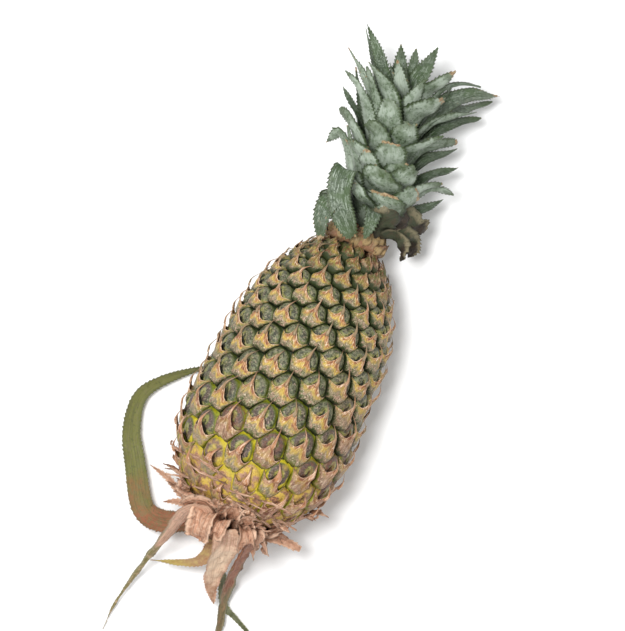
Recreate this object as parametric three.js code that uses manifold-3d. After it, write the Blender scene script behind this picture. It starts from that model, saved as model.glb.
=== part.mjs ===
// A small pineapple lying on its side: the fruit, its crown of spiny leaves, the cut
// stalk and the dry leaves left round it. Millimetres, +Z up, +Y from stalk to crown.
// The origin is on the floor, in the middle of the flat patch that the fruit rests on.
import * as THREE from "three";
import { mergeVertices } from "three/addons/utils/BufferGeometryUtils.js";
import Module from "manifold-3d";

const manifold = await Module();
manifold.setup();

const RAD = Math.PI / 180;

// ---- driving dimensions -------------------------------------------------------------

// The fruit's outline as [along the axis, radius]; 0 is over the origin.
const FRUIT_OUTLINE = [
  [-84, 0], [-83.6, 10], [-82, 20], [-77.5, 30], [-68.4, 37.6], [-57, 44.1], [-43, 48.5],
  [-28.5, 49.6], [-11.4, 48.4], [5.7, 46.9], [22.8, 45.9], [34.2, 44.4], [45.6, 41.7],
  [57, 37.2], [68.4, 30.6], [77, 23.7], [83, 16.5], [85.6, 9], [86, 0],
];
const AXIS_DROP = 4.3 * RAD;      // the axis dips toward the crown, so that the flank lies flat
const AXIS_HEIGHT = 46.6;         // of the axis over the origin
const OUTLINE_STEPS = 600;
const LEAST_EDGE = 0.03;          // shorter edges, left where leaves cross, are drawn together

// The eyes follow one spiral. Each has its neighbours 8 and 13 eyes on.
const EYE_TURN = 137.39 * RAD;    // from one eye to the next, from the top toward +X
const EYE_PHASE = 95.7 * RAD;     // of the first eye
const EYE_FIRST = 2;              // arc length from the base pole to the first eye
const EYE_STEP = 0.678;           // arc length between eyes where the arc is EYE_STEP_AT
const EYE_STEP_AT = 162;
const EYE_STEP_FALL = 0.0046;     // how much the step shrinks per mm toward the crown
const EYE_STEP_LEAST = 0.62;
const NEAR_STEP = 8;
const FAR_STEP = 13;
const CROWN_COVERS = 15;          // arc length round the top pole that has no eyes

const GROOVE_DEPTH = 2.6;         // the grooves between eyes, under the outline
const SHOULDER_SIZE = 0.72;       // an eye's raised face, as a share of its cell
const SHOULDER_DEPTH = 0.5;
const SPINE_FOOT_SIZE = 0.24;     // the foot of the spine, as a share of the cell
const SPINE_FOOT_RISE = 0.5;
const SPINE_SHIFT = 1.4;          // from the eye's middle toward the crown
const SPINE_LEAN = 3.4;           // the tip, further toward the crown
const SPINE_RISE = 1.3;
const SPINE_FADE = 40;            // the spines shrink over this arc length under the crown
const SPINE_LEAST = 0.3;
const REST_FLAT = 11 * RAD;       // half the strip under the fruit that is pressed flat
const REST_BLEND = 10 * RAD;      // the grooves come back over this much more

// The crown's stem grows from the fruit's top, leaning a little to -X and up.
const CROWN_AT = 90;              // along the fruit's axis
const CROWN_LEAN = -6 * RAD;
const CROWN_PITCH = 1.5 * RAD;
const STEM_OUTLINE = [[-1, 0], [-1, 12], [8, 11.5], [30, 10], [55, 7.5], [74, 5], [84, 0]];
const STEM_SIDES = 12;
// The collar under it sits on the fruit's top, as [from the stem's foot, radius].
const COLLAR_OUTLINE = [
  [-3.1, 0], [-3.4, 9], [-4.7, 15], [-3.3, 17], [1, 17], [6, 14.5], [9, 10], [9, 0],
];
const COLLAR_SIDES = 18;
const ROOT_SINK = 0.85;           // a leaf starts at this share of the stem's radius

// A leaf blade: a shallow gutter with a ridged back, thinning to its toothed edges.
const BLADE_THICK = 1.5;
const LEAST_HALF = 0.5;           // half the width of the tip
const BLADE_GUTTER = 0.22;        // depth of the gutter, as a share of the width
const TEETH = 5;                  // along each edge
const TOOTH = 1.2;                // how far a tooth stands out of the edge
const TOOTH_PLACE = 0.65;         // a tooth's tip, as a share of the way to the next
// Where a blade is widest, its width at the root and how late it narrows to the tip.
const BLADE_SHAPE = { peak: 0.35, root: 0.55, taper: 2.2 };

// Crown leaves that set its outline. around: degrees from the top toward +X; at: height up
// the stem; via: the places that the midrib passes, the tip last; roll: twist in degrees up
// to the tip; cut: the share of the tip that is broken off.
const CROWN_LEAVES = [
  { around: -140, at: 58, width: 8.5, roll: -10, via: [[-18, 169, 50], [-30, 186, 60], [-46, 202, 64]] },
  { around: -115, at: 52, width: 8, via: [[-22, 163, 42], [-32, 182, 48], [-46, 201, 52]] },
  { around: -28, at: 60, width: 15, roll: -10, via: [[-14, 164, 62], [-23, 174, 70], [-36, 182, 73]] },
  { around: -10, at: 50, width: 16, cut: 0.22, via: [[-10, 152, 68], [-13, 159, 76], [-17, 168, 80]] },
  { around: -30, at: 40, width: 16, cut: 0.15, via: [[-10, 140, 64], [-15, 148, 71], [-24, 151, 72]] },
  { around: 30, at: 44, width: 18, cut: 0.25, via: [[1, 147, 62], [0, 154, 70], [0, 162, 72]] },
  { around: 0, at: 32, width: 19, cut: 0.3, via: [[-2, 134, 70], [-3, 140, 79], [-6, 146, 84]] },
  { around: -10, at: 20, width: 24, cut: 0.25, via: [[0, 120, 66], [-3, 124, 74], [-3, 131, 80]] },
  { around: 40, at: 22, width: 21, cut: 0.2, via: [[8, 124, 62], [11, 131, 67], [14, 140, 68]] },
  { around: 40, at: 52, width: 20, cut: 0.12, via: [[0, 164, 57], [6, 173, 63], [12, 182, 65]] },
  { around: 45, at: 60, width: 17, cut: 0.05, via: [[0, 178, 57], [6, 188, 64], [11, 199, 65]] },
  { around: 120, at: 66, width: 14, roll: 30, via: [[-6, 180, 46], [-5, 194, 52], [-4, 208, 54]] },
  { around: 140, at: 70, width: 10, roll: 10, via: [[-9, 179, 42], [-11, 190, 45], [-15, 203, 46]] },
  { around: 165, at: 72, width: 11, via: [[-12, 177, 40], [-18, 189, 42], [-24, 202, 43]] },
  { around: 10, at: 72, width: 10, via: [[-10, 172, 56], [-15, 180, 61], [-22, 191, 62]] },
  { around: -60, at: 76, width: 7, via: [[-15, 170, 50], [-19, 178, 52], [-25, 189, 52]] },
  { around: 60, at: 78, width: 7, via: [[-8, 174, 50], [-11, 180, 52], [-16, 190, 53]] },
  { around: -55, at: 48, width: 9, via: [[-24, 161, 56], [-35, 174, 60], [-50, 186, 58]] },
  { around: -40, at: 42, width: 10, via: [[-25, 157, 58], [-36, 168, 63], [-46, 173, 63]] },
  { around: -125, at: 40, width: 9, via: [[-28, 157, 42], [-36, 169, 46], [-42, 179, 46]] },
  { around: -115, at: 32, width: 10, via: [[-27, 151, 44], [-36, 159, 47], [-44, 166, 44]] },
  { around: -62, at: 30, width: 14, cut: 0.15, via: [[-21, 137, 56], [-32, 148, 58], [-41, 153, 52]] },
  { around: -55, at: 16, width: 11, via: [[-23, 129, 48], [-34, 140, 52], [-39, 133, 42]] },
  { around: -40, at: 30, width: 15, cut: 0.1, via: [[-12, 131, 62], [-21, 135, 64], [-29, 137, 60]] },
  { around: -32, at: 18, width: 14, cut: 0.3, via: [[-21, 122, 68], [-18, 106, 71], [-2, 88, 68]] },
  { around: -50, at: 8, width: 15, roll: 10, cut: 0.1, via: [[-20, 104, 62], [-22, 93, 65], [-18, 80, 64]] },
  { around: -5, at: 4, width: 12, via: [[1, 107, 66], [3, 100, 69], [4, 91, 68]] },
  { around: 75, at: 60, width: 11, roll: 15, via: [[7, 183, 44], [16, 195, 42], [28, 200, 34]] },
  {
    around: 125, at: 52, width: 17, roll: 20, cut: 0.05,
    via: [[11, 175, 38], [23, 191, 34], [40, 201, 24]],
  },
  { around: 125, at: 46, width: 14, roll: 15, via: [[12, 170, 31], [25, 184, 26], [38, 197, 18]] },
  { around: 120, at: 42, width: 15, roll: 20, via: [[12, 160, 36], [23, 174, 31], [36, 185, 24]] },
  { around: 70, at: 44, width: 12, roll: 10, via: [[10, 164, 44], [20, 176, 40], [32, 186, 32]] },
  { around: 65, at: 30, width: 15, cut: 0.1, via: [[12, 150, 44], [21, 159, 40], [30, 166, 34]] },
  { around: 115, at: 26, width: 14, roll: 15, via: [[16, 145, 36], [24, 155, 31], [31, 163, 24]] },
  { around: 110, at: 14, width: 15, roll: 20, via: [[20, 135, 38], [28, 145, 33], [36, 153, 28]] },
  { around: 60, at: 8, width: 11, via: [[22, 128, 46], [30, 135, 44], [40, 137, 36]] },
  { around: 115, at: 4, width: 12, roll: 20, via: [[24, 117, 36], [30, 125, 30], [36, 133, 24]] },
  { around: -45, at: 12, width: 14, cut: 0.1, via: [[-5, 114, 58], [-12, 117, 64], [-19, 121, 62]] },
  { around: -5, at: 11, width: 26, cut: 0.3, via: [[5, 111, 62], [4, 115, 68], [3, 120, 72]] },
  { around: 45, at: 7, width: 22, cut: 0.2, via: [[14, 115, 57], [17, 121, 61], [22, 128, 58]] },
  { around: 35, at: 1, width: 21, cut: 0.3, via: [[13, 105, 60], [17, 109, 58], [23, 112, 50]] },
  { around: 65, at: 1, width: 21, cut: 0.35, via: [[18, 107, 48], [25, 107, 42], [32, 109, 32]] },
  { around: 80, at: 2, width: 16, cut: 0.2, via: [[21, 102, 42], [27, 100, 36], [31, 93, 28]] },
  { around: 55, at: 3, width: 11, cut: 0.1, via: [[17, 99, 52], [24, 97, 50], [29, 89, 44]] },
];

// Leaves under the crown, set out by a rule.
const UNDER_COUNT = 15;
const UNDER_WIDTH = 14;
const UNDER_FROM = 112;           // degrees round the stem
const UNDER_SPAN = 136;
const UNDER_FIRST = 0;            // height up the stem, and its step
const UNDER_STEP = 4.3;
const UNDER_LOWEST = 3;           // nothing comes nearer the floor than this
const GOLDEN = 0.618;
const SEED = 11;

// The cut stalk under the fruit, and the dry scales round it.
const STALK_FROM = -85;           // along the fruit's axis
const STALK_LENGTH = 15;
const STALK_RADIUS = 8.5;
const STALK_SIDES = 14;
const SCALE_COUNT = 14;
const SCALE_WIDTH = 12;
const SCALE_ARCS = [13, 23];      // arc lengths from the base pole that a scale passes
const SCALE_REACH = 29;           // arc length to a scale's tip, and how much it varies
const SCALE_REACH_SPREAD = 9;
const SCALE_OFF = 2.4;            // how far it stays off the fruit
const SCALE_CURL = [0.8, 3];      // the least and most that its tip stands further off
const DRY_TOOTH = 0.8;

// Small dry leaves that stay on the stalk.
const STALK_LEAVES = [
  { width: 4, via: [[-6, -89, 50], [-20, -85, 44], [-30, -84, 40], [-40, -80, 34], [-53, -78, 26]] },
  { width: 5, via: [[-6, -92, 48], [-20, -89, 38], [-29, -90, 33], [-37, -94, 28]] },
  { width: 5, cut: 0.4, via: [[6, -90, 48], [21, -87, 46], [33, -84, 45], [46, -84, 44]] },
  { width: 8, cut: 0.4, via: [[-6, -89, 53], [-10, -93, 48], [-11, -100, 42]] },
];

// The long dry leaves round the stalk, each from beside the stalk to its tip. Those with
// around, in degrees from the top toward +X, bend over the rim of the fruit's base first.
const BASE_LEAVES = [
  {
    name: "base_leaf_loop", colour: 0x666a35, width: 13, teeth: 16, roll: 45,
    shape: { peak: 0.3, root: 0.7, taper: 1.6 },
    via: [
      [-3, -94.5, 42.8], [-11, -96, 37], [-18, -98, 32], [-25, -102, 26], [-33, -105.5, 18],
      [-41, -106, 11], [-49, -101, 9], [-62, -82, 8], [-72, -66, 7], [-76, -47, 7],
      [-69, -33, 7], [-52, -17, 6], [-38, -10, 5],
    ],
  },
  {
    name: "base_leaf_pink", colour: 0xb98672, width: 13, teeth: 12, around: -50,
    shape: { peak: 0.25, root: 0.6, taper: 0.7 },
    via: [
      [-9, -94, 60], [-12.5, -91, 71], [-15, -84, 81], [-19, -87, 77], [-22.5, -96.5, 61],
      [-26, -110, 41], [-30, -124, 26], [-34.5, -143, 12], [-38, -163, 6], [-38.2, -179.5, 2],
    ],
  },
  {
    name: "base_leaf_yellow", colour: 0xb0a050, width: 7.5, teeth: 6,
    shape: { peak: 0.3, root: 0.9, taper: 1.2 },
    via: [
      [-1, -99, 43.8], [-1, -104, 39], [-1, -110, 34], [-3.5, -115, 30], [-8, -119, 26],
      [-17, -123.5, 22], [-30, -129, 17],
    ],
  },
  {
    name: "base_leaf_cream", colour: 0xe0c4a4, width: 17, teeth: 9, around: 5,
    shape: { peak: 0.35, root: 0.5, taper: 1.8 },
    via: [
      [1, -94, 63], [0.5, -92, 71], [1, -90.5, 77], [3.5, -94, 73], [5, -101.5, 63],
      [5.6, -109, 49], [6.5, -119, 36], [9.5, -128, 24], [14.5, -137, 13.5],
    ],
  },
  {
    name: "base_leaf_brown", colour: 0x8a5f45, width: 13, teeth: 11, around: 55,
    shape: { peak: 0.3, root: 0.5, taper: 2.5 },
    via: [
      [8.4, -94, 59.2], [13, -92, 64], [16, -90.5, 67], [16.5, -95.5, 60], [16, -101.5, 50],
      [15.8, -109.5, 37], [16.5, -121.6, 21], [18.5, -134, 11.5], [21.5, -144, 9],
      [24, -152, 7.5], [29, -164, 6],
    ],
  },
  {
    name: "base_leaf_thin", colour: 0x76835a, width: 5, teeth: 8,
    shape: { peak: 0.4, root: 0.8, taper: 2 },
    via: [
      [6.5, -97, 44.2], [6.5, -104, 41], [7, -109, 35], [9.5, -114, 26], [13, -122, 9],
      [18, -132, 5.5], [22, -137, 5], [29.5, -140, 4.5], [37, -143.4, 4], [48, -148, 3],
    ],
  },
];

// ---- shapes shared by the pieces ------------------------------------------------------

const vec = (x, y, z) => new THREE.Vector3(x, y, z);
const UP = vec(0, 0, 1);
const SIDE = vec(1, 0, 0);
const axisDir = vec(0, Math.cos(AXIS_DROP), -Math.sin(AXIS_DROP));
const axisUp = vec(0, Math.sin(AXIS_DROP), Math.cos(AXIS_DROP));
const onAxis = (along) => vec(0, 0, AXIS_HEIGHT).addScaledVector(axisDir, along);

const stemDir = vec(
  Math.sin(CROWN_LEAN) * Math.cos(CROWN_PITCH),
  Math.cos(CROWN_LEAN) * Math.cos(CROWN_PITCH),
  Math.sin(CROWN_PITCH),
);
const stemSide = vec(Math.cos(CROWN_LEAN), -Math.sin(CROWN_LEAN), 0);
const stemUp = stemSide.clone().cross(stemDir);

// The direction that leaves an axis at an angle from the top toward +X.
function around(angle, side, up) {
  return side.clone().multiplyScalar(Math.sin(angle)).addScaledVector(up, Math.cos(angle));
}

// Random numbers from 0 to 1 that come out the same each time.
function seeded(seed) {
  let state = seed;
  return () => {
    state = (Math.imul(state, 1664525) + 1013904223) >>> 0;
    return state / 2 ** 32;
  };
}

function toSolid(geometry) {
  const bare = geometry.index ? geometry.toNonIndexed() : geometry.clone();
  bare.deleteAttribute("normal");
  bare.deleteAttribute("uv");
  const merged = mergeVertices(bare, 1e-4);
  return new manifold.Manifold(new manifold.Mesh({
    numProp: 3,
    vertProperties: new Float32Array(merged.attributes.position.array),
    triVerts: new Uint32Array(merged.index.array),
  }));
}

// Joins the geometries and keeps the largest shell, so that hollows sealed among them are
// filled.
function fuse(geometries) {
  const mesh = geometries.map(toSolid).reduce((whole, part) => whole.add(part)).getMesh();
  const place = (i) => vec(...mesh.vertProperties.subarray(i * mesh.numProp, i * mesh.numProp + 3));
  const points = Array.from({ length: mesh.vertProperties.length / mesh.numProp }, (_, i) => place(i));
  const face = (i) => [...mesh.triVerts.subarray(3 * i, 3 * i + 3)];
  const faces = Array.from({ length: mesh.triVerts.length / 3 }, (_, i) => face(i));
  const shells = [...Map.groupBy(faces, shellFinder(points.length, faces)).values()];
  const volumes = shells.map((shell) => signedVolume(points, shell));
  return fromTriangles(points, closeShortEdges(points, shells[volumes.indexOf(Math.max(...volumes))]));
}

// Draws the ends of very short edges together, where that leaves the surface closed.
function closeShortEdges(points, shell) {
  const faces = shell.map((face) => [...face]);
  const touching = points.map(() => new Set());
  faces.forEach((face, i) => face.forEach((v) => touching[v].add(i)));
  const neighbours = (v) => new Set([...touching[v]].flatMap((i) => faces[i]));
  const join = (kept, gone) => {
    for (const i of [...touching[gone]]) {
      if (faces[i].includes(kept)) {
        faces[i].forEach((v) => touching[v].delete(i));
        faces[i] = [];
      } else {
        faces[i] = faces[i].map((v) => (v === gone ? kept : v));
        touching[kept].add(i);
      }
    }
    touching[gone].clear();
  };
  for (let i = 0; i < faces.length; i += 1) {
    for (const [a, b] of [[0, 1], [1, 2], [2, 0]]) {
      const [kept, gone] = [faces[i][a], faces[i][b]];
      if (kept === undefined || points[kept].distanceTo(points[gone]) > LEAST_EDGE) continue;
      const shared = [...neighbours(kept)].filter((v) => neighbours(gone).has(v));
      if (shared.length === 4) join(kept, gone);
    }
  }
  return faces.filter((face) => face.length === 3);
}

// Tells which shell a face is in, by its vertices' common root.
function shellFinder(count, faces) {
  const parent = Array.from({ length: count }, (_, i) => i);
  const root = (i) => {
    while (parent[i] !== i) i = parent[i] = parent[parent[i]];
    return i;
  };
  for (const [a, b, c] of faces) {
    parent[root(a)] = root(b);
    parent[root(b)] = root(c);
  }
  return ([a]) => root(a);
}

function fromTriangles(points, triangles) {
  const geometry = new THREE.BufferGeometry();
  geometry.setAttribute("position", new THREE.Float32BufferAttribute(points.flatMap((p) => p.toArray()), 3));
  geometry.setIndex(triangles.flat());
  geometry.computeVertexNormals();
  return geometry;
}

// A lathed solid whose axis starts at a point and runs along a direction.
function turned(outline, sides, start, along) {
  const profile = outline.map(([height, radius]) => new THREE.Vector2(radius, height));
  const geometry = new THREE.LatheGeometry(profile, sides);
  geometry.applyQuaternion(new THREE.Quaternion().setFromUnitVectors(vec(0, 1, 0), along));
  return geometry.translate(start.x, start.y, start.z);
}

// ---- leaf blades ----------------------------------------------------------------------

// The width of a blade along its length, as a share of its greatest width.
function bladeWidth(share, { peak, root, taper }) {
  if (share < peak) return root + (1 - root) * Math.sin((share / peak) * (Math.PI / 2));
  return 1 - ((share - peak) / (1 - peak)) ** taper;
}

// A blade along a curve. across gives the direction of its width at the root; inner gives
// the side that its gutter opens to. Each tooth leans toward the tip.
function blade({ via, width, across, inner, roll = 0, cut = 0, shape, teeth = TEETH, tooth = TOOTH }) {
  const curve = new THREE.CatmullRomCurve3(via, false, "catmullrom", 0.5);
  const sign = Math.sign(across.clone().cross(curve.getTangentAt(0)).dot(inner));
  const slice = (share, spike) => {
    const tangent = curve.getTangentAt(share);
    const level = across.clone().addScaledVector(tangent, -across.dot(tangent)).normalize();
    const normal = level.clone().cross(tangent).multiplyScalar(sign);
    const turn = roll * RAD * share;
    const wide = level.clone().multiplyScalar(Math.cos(turn)).addScaledVector(normal, Math.sin(turn));
    const high = normal.clone().multiplyScalar(Math.cos(turn)).addScaledVector(level, -Math.sin(turn));
    const middle = curve.getPointAt(share);
    const half = (width / 2) * bladeWidth(share * (1 - cut), { ...BLADE_SHAPE, ...shape });
    const reach = Math.max(half + Math.min(spike, half / 2), LEAST_HALF);
    const rim = middle.clone().addScaledVector(high, BLADE_GUTTER * half * (2 - share));
    return {
      left: rim.clone().addScaledVector(wide, -reach),
      right: rim.clone().addScaledVector(wide, reach),
      ridge: middle.clone().addScaledVector(high, BLADE_THICK / 2),
      keel: middle.clone().addScaledVector(high, -BLADE_THICK / 2),
    };
  };
  const points = [];
  const faces = [];
  for (let k = 0; k <= teeth; k += 1) {
    const whole = slice(k / teeth, 0);
    points.push(whole.left, whole.ridge, whole.right, whole.keel);
    if (k === teeth) break;
    const spiked = slice((k + TOOTH_PLACE) / teeth, tooth);
    points.push(spiked.left, spiked.right);
    faces.push(...toothFaces(6 * k));
  }
  const last = 6 * teeth;
  faces.push([0, 1, 3], [1, 2, 3], [last, last + 3, last + 1], [last + 1, last + 3, last + 2]);
  return fromTriangles(points, outward(points, faces));
}

// The faces between two slices, with a tooth on each edge. The slices' corners are left,
// ridge, right, keel; the two tooth tips stand between them.
function toothFaces(start) {
  const [left, ridge, right, keel, leftTip, rightTip] = [0, 1, 2, 3, 4, 5].map((i) => start + i);
  const [nextLeft, nextRidge, nextRight, nextKeel] = [6, 7, 8, 9].map((i) => start + i);
  return [
    [ridge, left, leftTip], [ridge, leftTip, nextRidge], [nextRidge, leftTip, nextLeft],
    [right, ridge, rightTip], [rightTip, ridge, nextRidge], [rightTip, nextRidge, nextRight],
    [left, keel, leftTip], [leftTip, keel, nextKeel], [leftTip, nextKeel, nextLeft],
    [keel, right, rightTip], [keel, rightTip, nextKeel], [nextKeel, rightTip, nextRight],
  ];
}

function signedVolume(points, faces) {
  return faces.reduce((sum, [a, b, c]) => sum + points[a].dot(points[b].clone().cross(points[c])), 0);
}

function outward(points, faces) {
  return signedVolume(points, faces) > 0 ? faces : faces.map(([a, b, c]) => [a, c, b]);
}

// ---- the fruit ------------------------------------------------------------------------

const outline = new THREE.SplineCurve(
  FRUIT_OUTLINE.map(([along, radius]) => new THREE.Vector2(along, radius)));
outline.arcLengthDivisions = OUTLINE_STEPS;
const outlineLength = outline.getLength();

// How much of the relief is left at an angle from the top: none where the fruit rests.
function reliefAt(angle) {
  const turn = THREE.MathUtils.euclideanModulo(angle + Math.PI, 2 * Math.PI) - Math.PI;
  const fromBottom = Math.PI - Math.abs(turn);
  return THREE.MathUtils.smoothstep(fromBottom, REST_FLAT, REST_FLAT + REST_BLEND);
}

// A point on the fruit: arc length from the base pole, angle, height over the outline and a
// shift toward the crown. Nothing goes under the floor.
function onFruit(arc, angle, lift, shift = 0) {
  const share = THREE.MathUtils.clamp(arc / outlineLength, 0, 1);
  const place = outline.getPointAt(share);
  const tangent = outline.getTangentAt(share);
  const relief = lift * reliefAt(angle);
  const along = place.x - tangent.y * relief + tangent.x * shift;
  const radius = Math.max(place.y + tangent.x * relief + tangent.y * shift, 0);
  const point = onAxis(along).addScaledVector(around(angle, SIDE, axisUp), radius);
  point.z = Math.max(point.z, 0);
  return point;
}

function eyeSpiral() {
  const eyes = [];
  let arc = EYE_FIRST;
  for (let k = 0; arc < outlineLength; k += 1) {
    eyes.push({ arc, angle: EYE_PHASE + k * EYE_TURN });
    arc += Math.max(EYE_STEP_LEAST, EYE_STEP + EYE_STEP_FALL * (EYE_STEP_AT - arc));
  }
  return eyes;
}

// The turn between two eyes a number of places apart, taken the short way round.
function shortTurn(places) {
  const turn = places * EYE_TURN;
  return turn - 2 * Math.PI * Math.round(turn / (2 * Math.PI));
}

// The six corners of eye k's cell: the middles of the triangles that it makes with its
// neighbours, in order round it, named so that neighbouring cells share them.
function cellCorners(eyes, k) {
  const far = NEAR_STEP + FAR_STEP;
  const corner = (first, step) => {
    const turn = (shortTurn(step) + shortTurn(far)) / 3;
    const arc = (eyes[first].arc + eyes[first + step].arc + eyes[first + far].arc) / 3;
    const offset = shortTurn(k - first);
    return { name: `${first}:${step}`, arc, angle: eyes[k].angle + turn - offset };
  };
  return [
    corner(k, NEAR_STEP), corner(k, FAR_STEP), corner(k - NEAR_STEP, NEAR_STEP),
    corner(k - far, FAR_STEP), corner(k - far, NEAR_STEP), corner(k - FAR_STEP, FAR_STEP),
  ];
}

function buildFruit() {
  const eyes = eyeSpiral();
  const far = NEAR_STEP + FAR_STEP;
  const points = [];
  const faces = [];
  const grooves = new Map();
  const add = (point) => points.push(point) - 1;
  const groove = (corner) => {
    if (!grooves.has(corner.name)) {
      grooves.set(corner.name, add(onFruit(corner.arc, corner.angle, -GROOVE_DEPTH)));
    }
    return grooves.get(corner.name);
  };
  for (let k = far; k < eyes.length - far; k += 1) {
    const eye = eyes[k];
    if (eye.arc > outlineLength - CROWN_COVERS) break;
    const corners = cellCorners(eyes, k);
    const share = (corner, size) => [
      eye.arc + (corner.arc - eye.arc) * size, eye.angle + (corner.angle - eye.angle) * size,
    ];
    const rim = corners.map(groove);
    const shoulder = corners.map((corner) => add(onFruit(...share(corner, SHOULDER_SIZE), -SHOULDER_DEPTH)));
    const size = THREE.MathUtils.clamp((outlineLength - eye.arc) / SPINE_FADE, SPINE_LEAST, 1);
    const foot = [0, 2, 4].map((i) => add(
      onFruit(...share(corners[i], SPINE_FOOT_SIZE), SPINE_FOOT_RISE * size, SPINE_SHIFT * size)));
    const tip = add(onFruit(
      eye.arc, eye.angle, (SPINE_FOOT_RISE + SPINE_RISE) * size, (SPINE_SHIFT + SPINE_LEAN) * size));
    for (let i = 0; i < 6; i += 1) {
      const next = (i + 1) % 6;
      faces.push([rim[i], rim[next], shoulder[next]], [rim[i], shoulder[next], shoulder[i]]);
    }
    for (let i = 0; i < 3; i += 1) {
      const [a, b, c] = [shoulder[2 * i], shoulder[2 * i + 1], shoulder[(2 * i + 2) % 6]];
      const [near, next] = [foot[i], foot[(i + 1) % 3]];
      faces.push([a, b, near], [b, next, near], [b, c, next], [near, next, tip]);
    }
  }
  closeEnds(points, faces);
  return fromTriangles(points, outward(points, faces));
}

// Closes the open rims at the two poles with a fan each.
function closeEnds(points, faces) {
  const open = new Map();
  for (const [a, b, c] of faces) {
    for (const [from, to] of [[a, b], [b, c], [c, a]]) {
      const back = `${to}>${from}`;
      if (open.has(back)) open.delete(back);
      else open.set(`${from}>${to}`, [from, to]);
    }
  }
  const poles = [0, outlineLength].map((arc) => points.push(onFruit(arc, 0, 0)) - 1);
  for (const [from, to] of open.values()) {
    const pole = points[from].y < 0 ? poles[0] : poles[1];
    faces.push([to, from, pole]);
  }
}

// ---- the crown ------------------------------------------------------------------------

function stemRadius(height) {
  const next = STEM_OUTLINE.findIndex(([at]) => at > height);
  const [[low, lowRadius], [high, highRadius]] = [STEM_OUTLINE[next - 1], STEM_OUTLINE[next]];
  return THREE.MathUtils.mapLinear(height, low, high, lowRadius, highRadius);
}

const crownStart = onAxis(CROWN_AT);
const onStem = (height) => crownStart.clone().addScaledVector(stemDir, height);

function crownBlade(leaf) {
  const angle = leaf.around * RAD;
  const outward = around(angle, stemSide, stemUp);
  const rootAt = onStem(leaf.at).addScaledVector(outward, ROOT_SINK * stemRadius(leaf.at));
  return blade({
    ...leaf,
    via: [rootAt, ...leaf.via.map((place) => vec(...place))],
    across: around(angle + Math.PI / 2, stemSide, stemUp),
    inner: stemDir.clone().addScaledVector(outward, -1),
  });
}

function underLeaves() {
  const random = seeded(SEED);
  return Array.from({ length: UNDER_COUNT }, (_, k) => {
    const degrees = UNDER_FROM + UNDER_SPAN * ((k * GOLDEN) % 1);
    const at = UNDER_FIRST + UNDER_STEP * k;
    const outward = around(degrees * RAD, stemSide, stemUp);
    const place = (out, up) => {
      const point = onStem(at + up).addScaledVector(outward, out);
      point.z = Math.max(point.z, UNDER_LOWEST);
      return point.toArray();
    };
    return {
      around: degrees, at, width: UNDER_WIDTH,
      via: [place(19, 18 + 6 * random()), place(25 + 7 * random(), 38 + 12 * random())],
    };
  });
}

function buildCrown() {
  const stem = turned(STEM_OUTLINE, STEM_SIDES, crownStart, stemDir);
  const collar = turned(COLLAR_OUTLINE, COLLAR_SIDES, crownStart, axisDir);
  return fuse([stem, collar, ...[...CROWN_LEAVES, ...underLeaves()].map(crownBlade)]);
}

// ---- the stalk and the dry leaves -------------------------------------------------------

function flatBlade(leaf) {
  const via = leaf.via.map((place) => vec(...place));
  const level = UP.clone().cross(via[1].clone().sub(via[0])).normalize();
  const bent = leaf.around !== undefined;
  return blade({
    tooth: DRY_TOOTH, ...leaf, via, inner: bent ? axisDir : UP,
    across: bent ? around((leaf.around + 90) * RAD, SIDE, axisUp) : level,
  });
}

// A place that stays off the fruit's outline, at an arc length from the base pole.
function offFruit(arc, angle, off) {
  const place = outline.getPointAt(arc / outlineLength);
  const tangent = outline.getTangentAt(arc / outlineLength);
  const outward = around(angle, SIDE, axisUp);
  return onAxis(place.x - tangent.y * off).addScaledVector(outward, place.y + tangent.x * off);
}

function stalkScale(angle, reach, curl) {
  const root = onAxis(STALK_FROM - 4).addScaledVector(around(angle, SIDE, axisUp), STALK_RADIUS * 0.6);
  const passed = SCALE_ARCS.map((arc) => offFruit(arc, angle, SCALE_OFF));
  return blade({
    via: [root, ...passed, offFruit(reach, angle, SCALE_OFF + curl)],
    width: SCALE_WIDTH,
    across: around(angle + Math.PI / 2, SIDE, axisUp),
    inner: axisDir.clone().negate(),
    teeth: 2,
  });
}

function buildStalk() {
  const random = seeded(SEED);
  const end = STALK_RADIUS * 0.92;
  const stalk = turned(
    [[0, 0], [0, STALK_RADIUS * 0.9], [4, STALK_RADIUS], [STALK_LENGTH, end], [STALK_LENGTH, 0]],
    STALK_SIDES, onAxis(STALK_FROM), axisDir.clone().negate(),
  );
  const scales = Array.from({ length: SCALE_COUNT }, (_, k) => (
    stalkScale(
      k * EYE_TURN, SCALE_REACH + SCALE_REACH_SPREAD * random(),
      THREE.MathUtils.lerp(...SCALE_CURL, random()))));
  return fuse([stalk, ...scales, ...STALK_LEAVES.map(flatBlade)]);
}

// ---- the part ---------------------------------------------------------------------------

function piece(name, geometry, color, roughness) {
  const mesh = new THREE.Mesh(geometry, new THREE.MeshStandardMaterial({ color, roughness, metalness: 0 }));
  mesh.name = name;
  return mesh;
}

const pineapple = new THREE.Group();
pineapple.add(
  piece("fruit", buildFruit(), 0x8d8a3c, 0.6),
  piece("crown", buildCrown(), 0x7f9a80, 0.55),
  piece("stalk", buildStalk(), 0x7a5a44, 0.85),
  ...BASE_LEAVES.map((leaf) => piece(leaf.name, flatBlade(leaf), leaf.colour, 0.7)),
);

export default pineapple;
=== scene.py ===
"""A small pineapple lying on its side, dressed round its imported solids.

The rind is one closed surface of eyes with a bract and a spine on each. The crown, the cut
stalk and the long dry leaves are closed blades with toothed edges. Metres, +Z up, +Y from
the stalk to the crown, the origin on the floor under the fruit.
"""
import math

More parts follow.
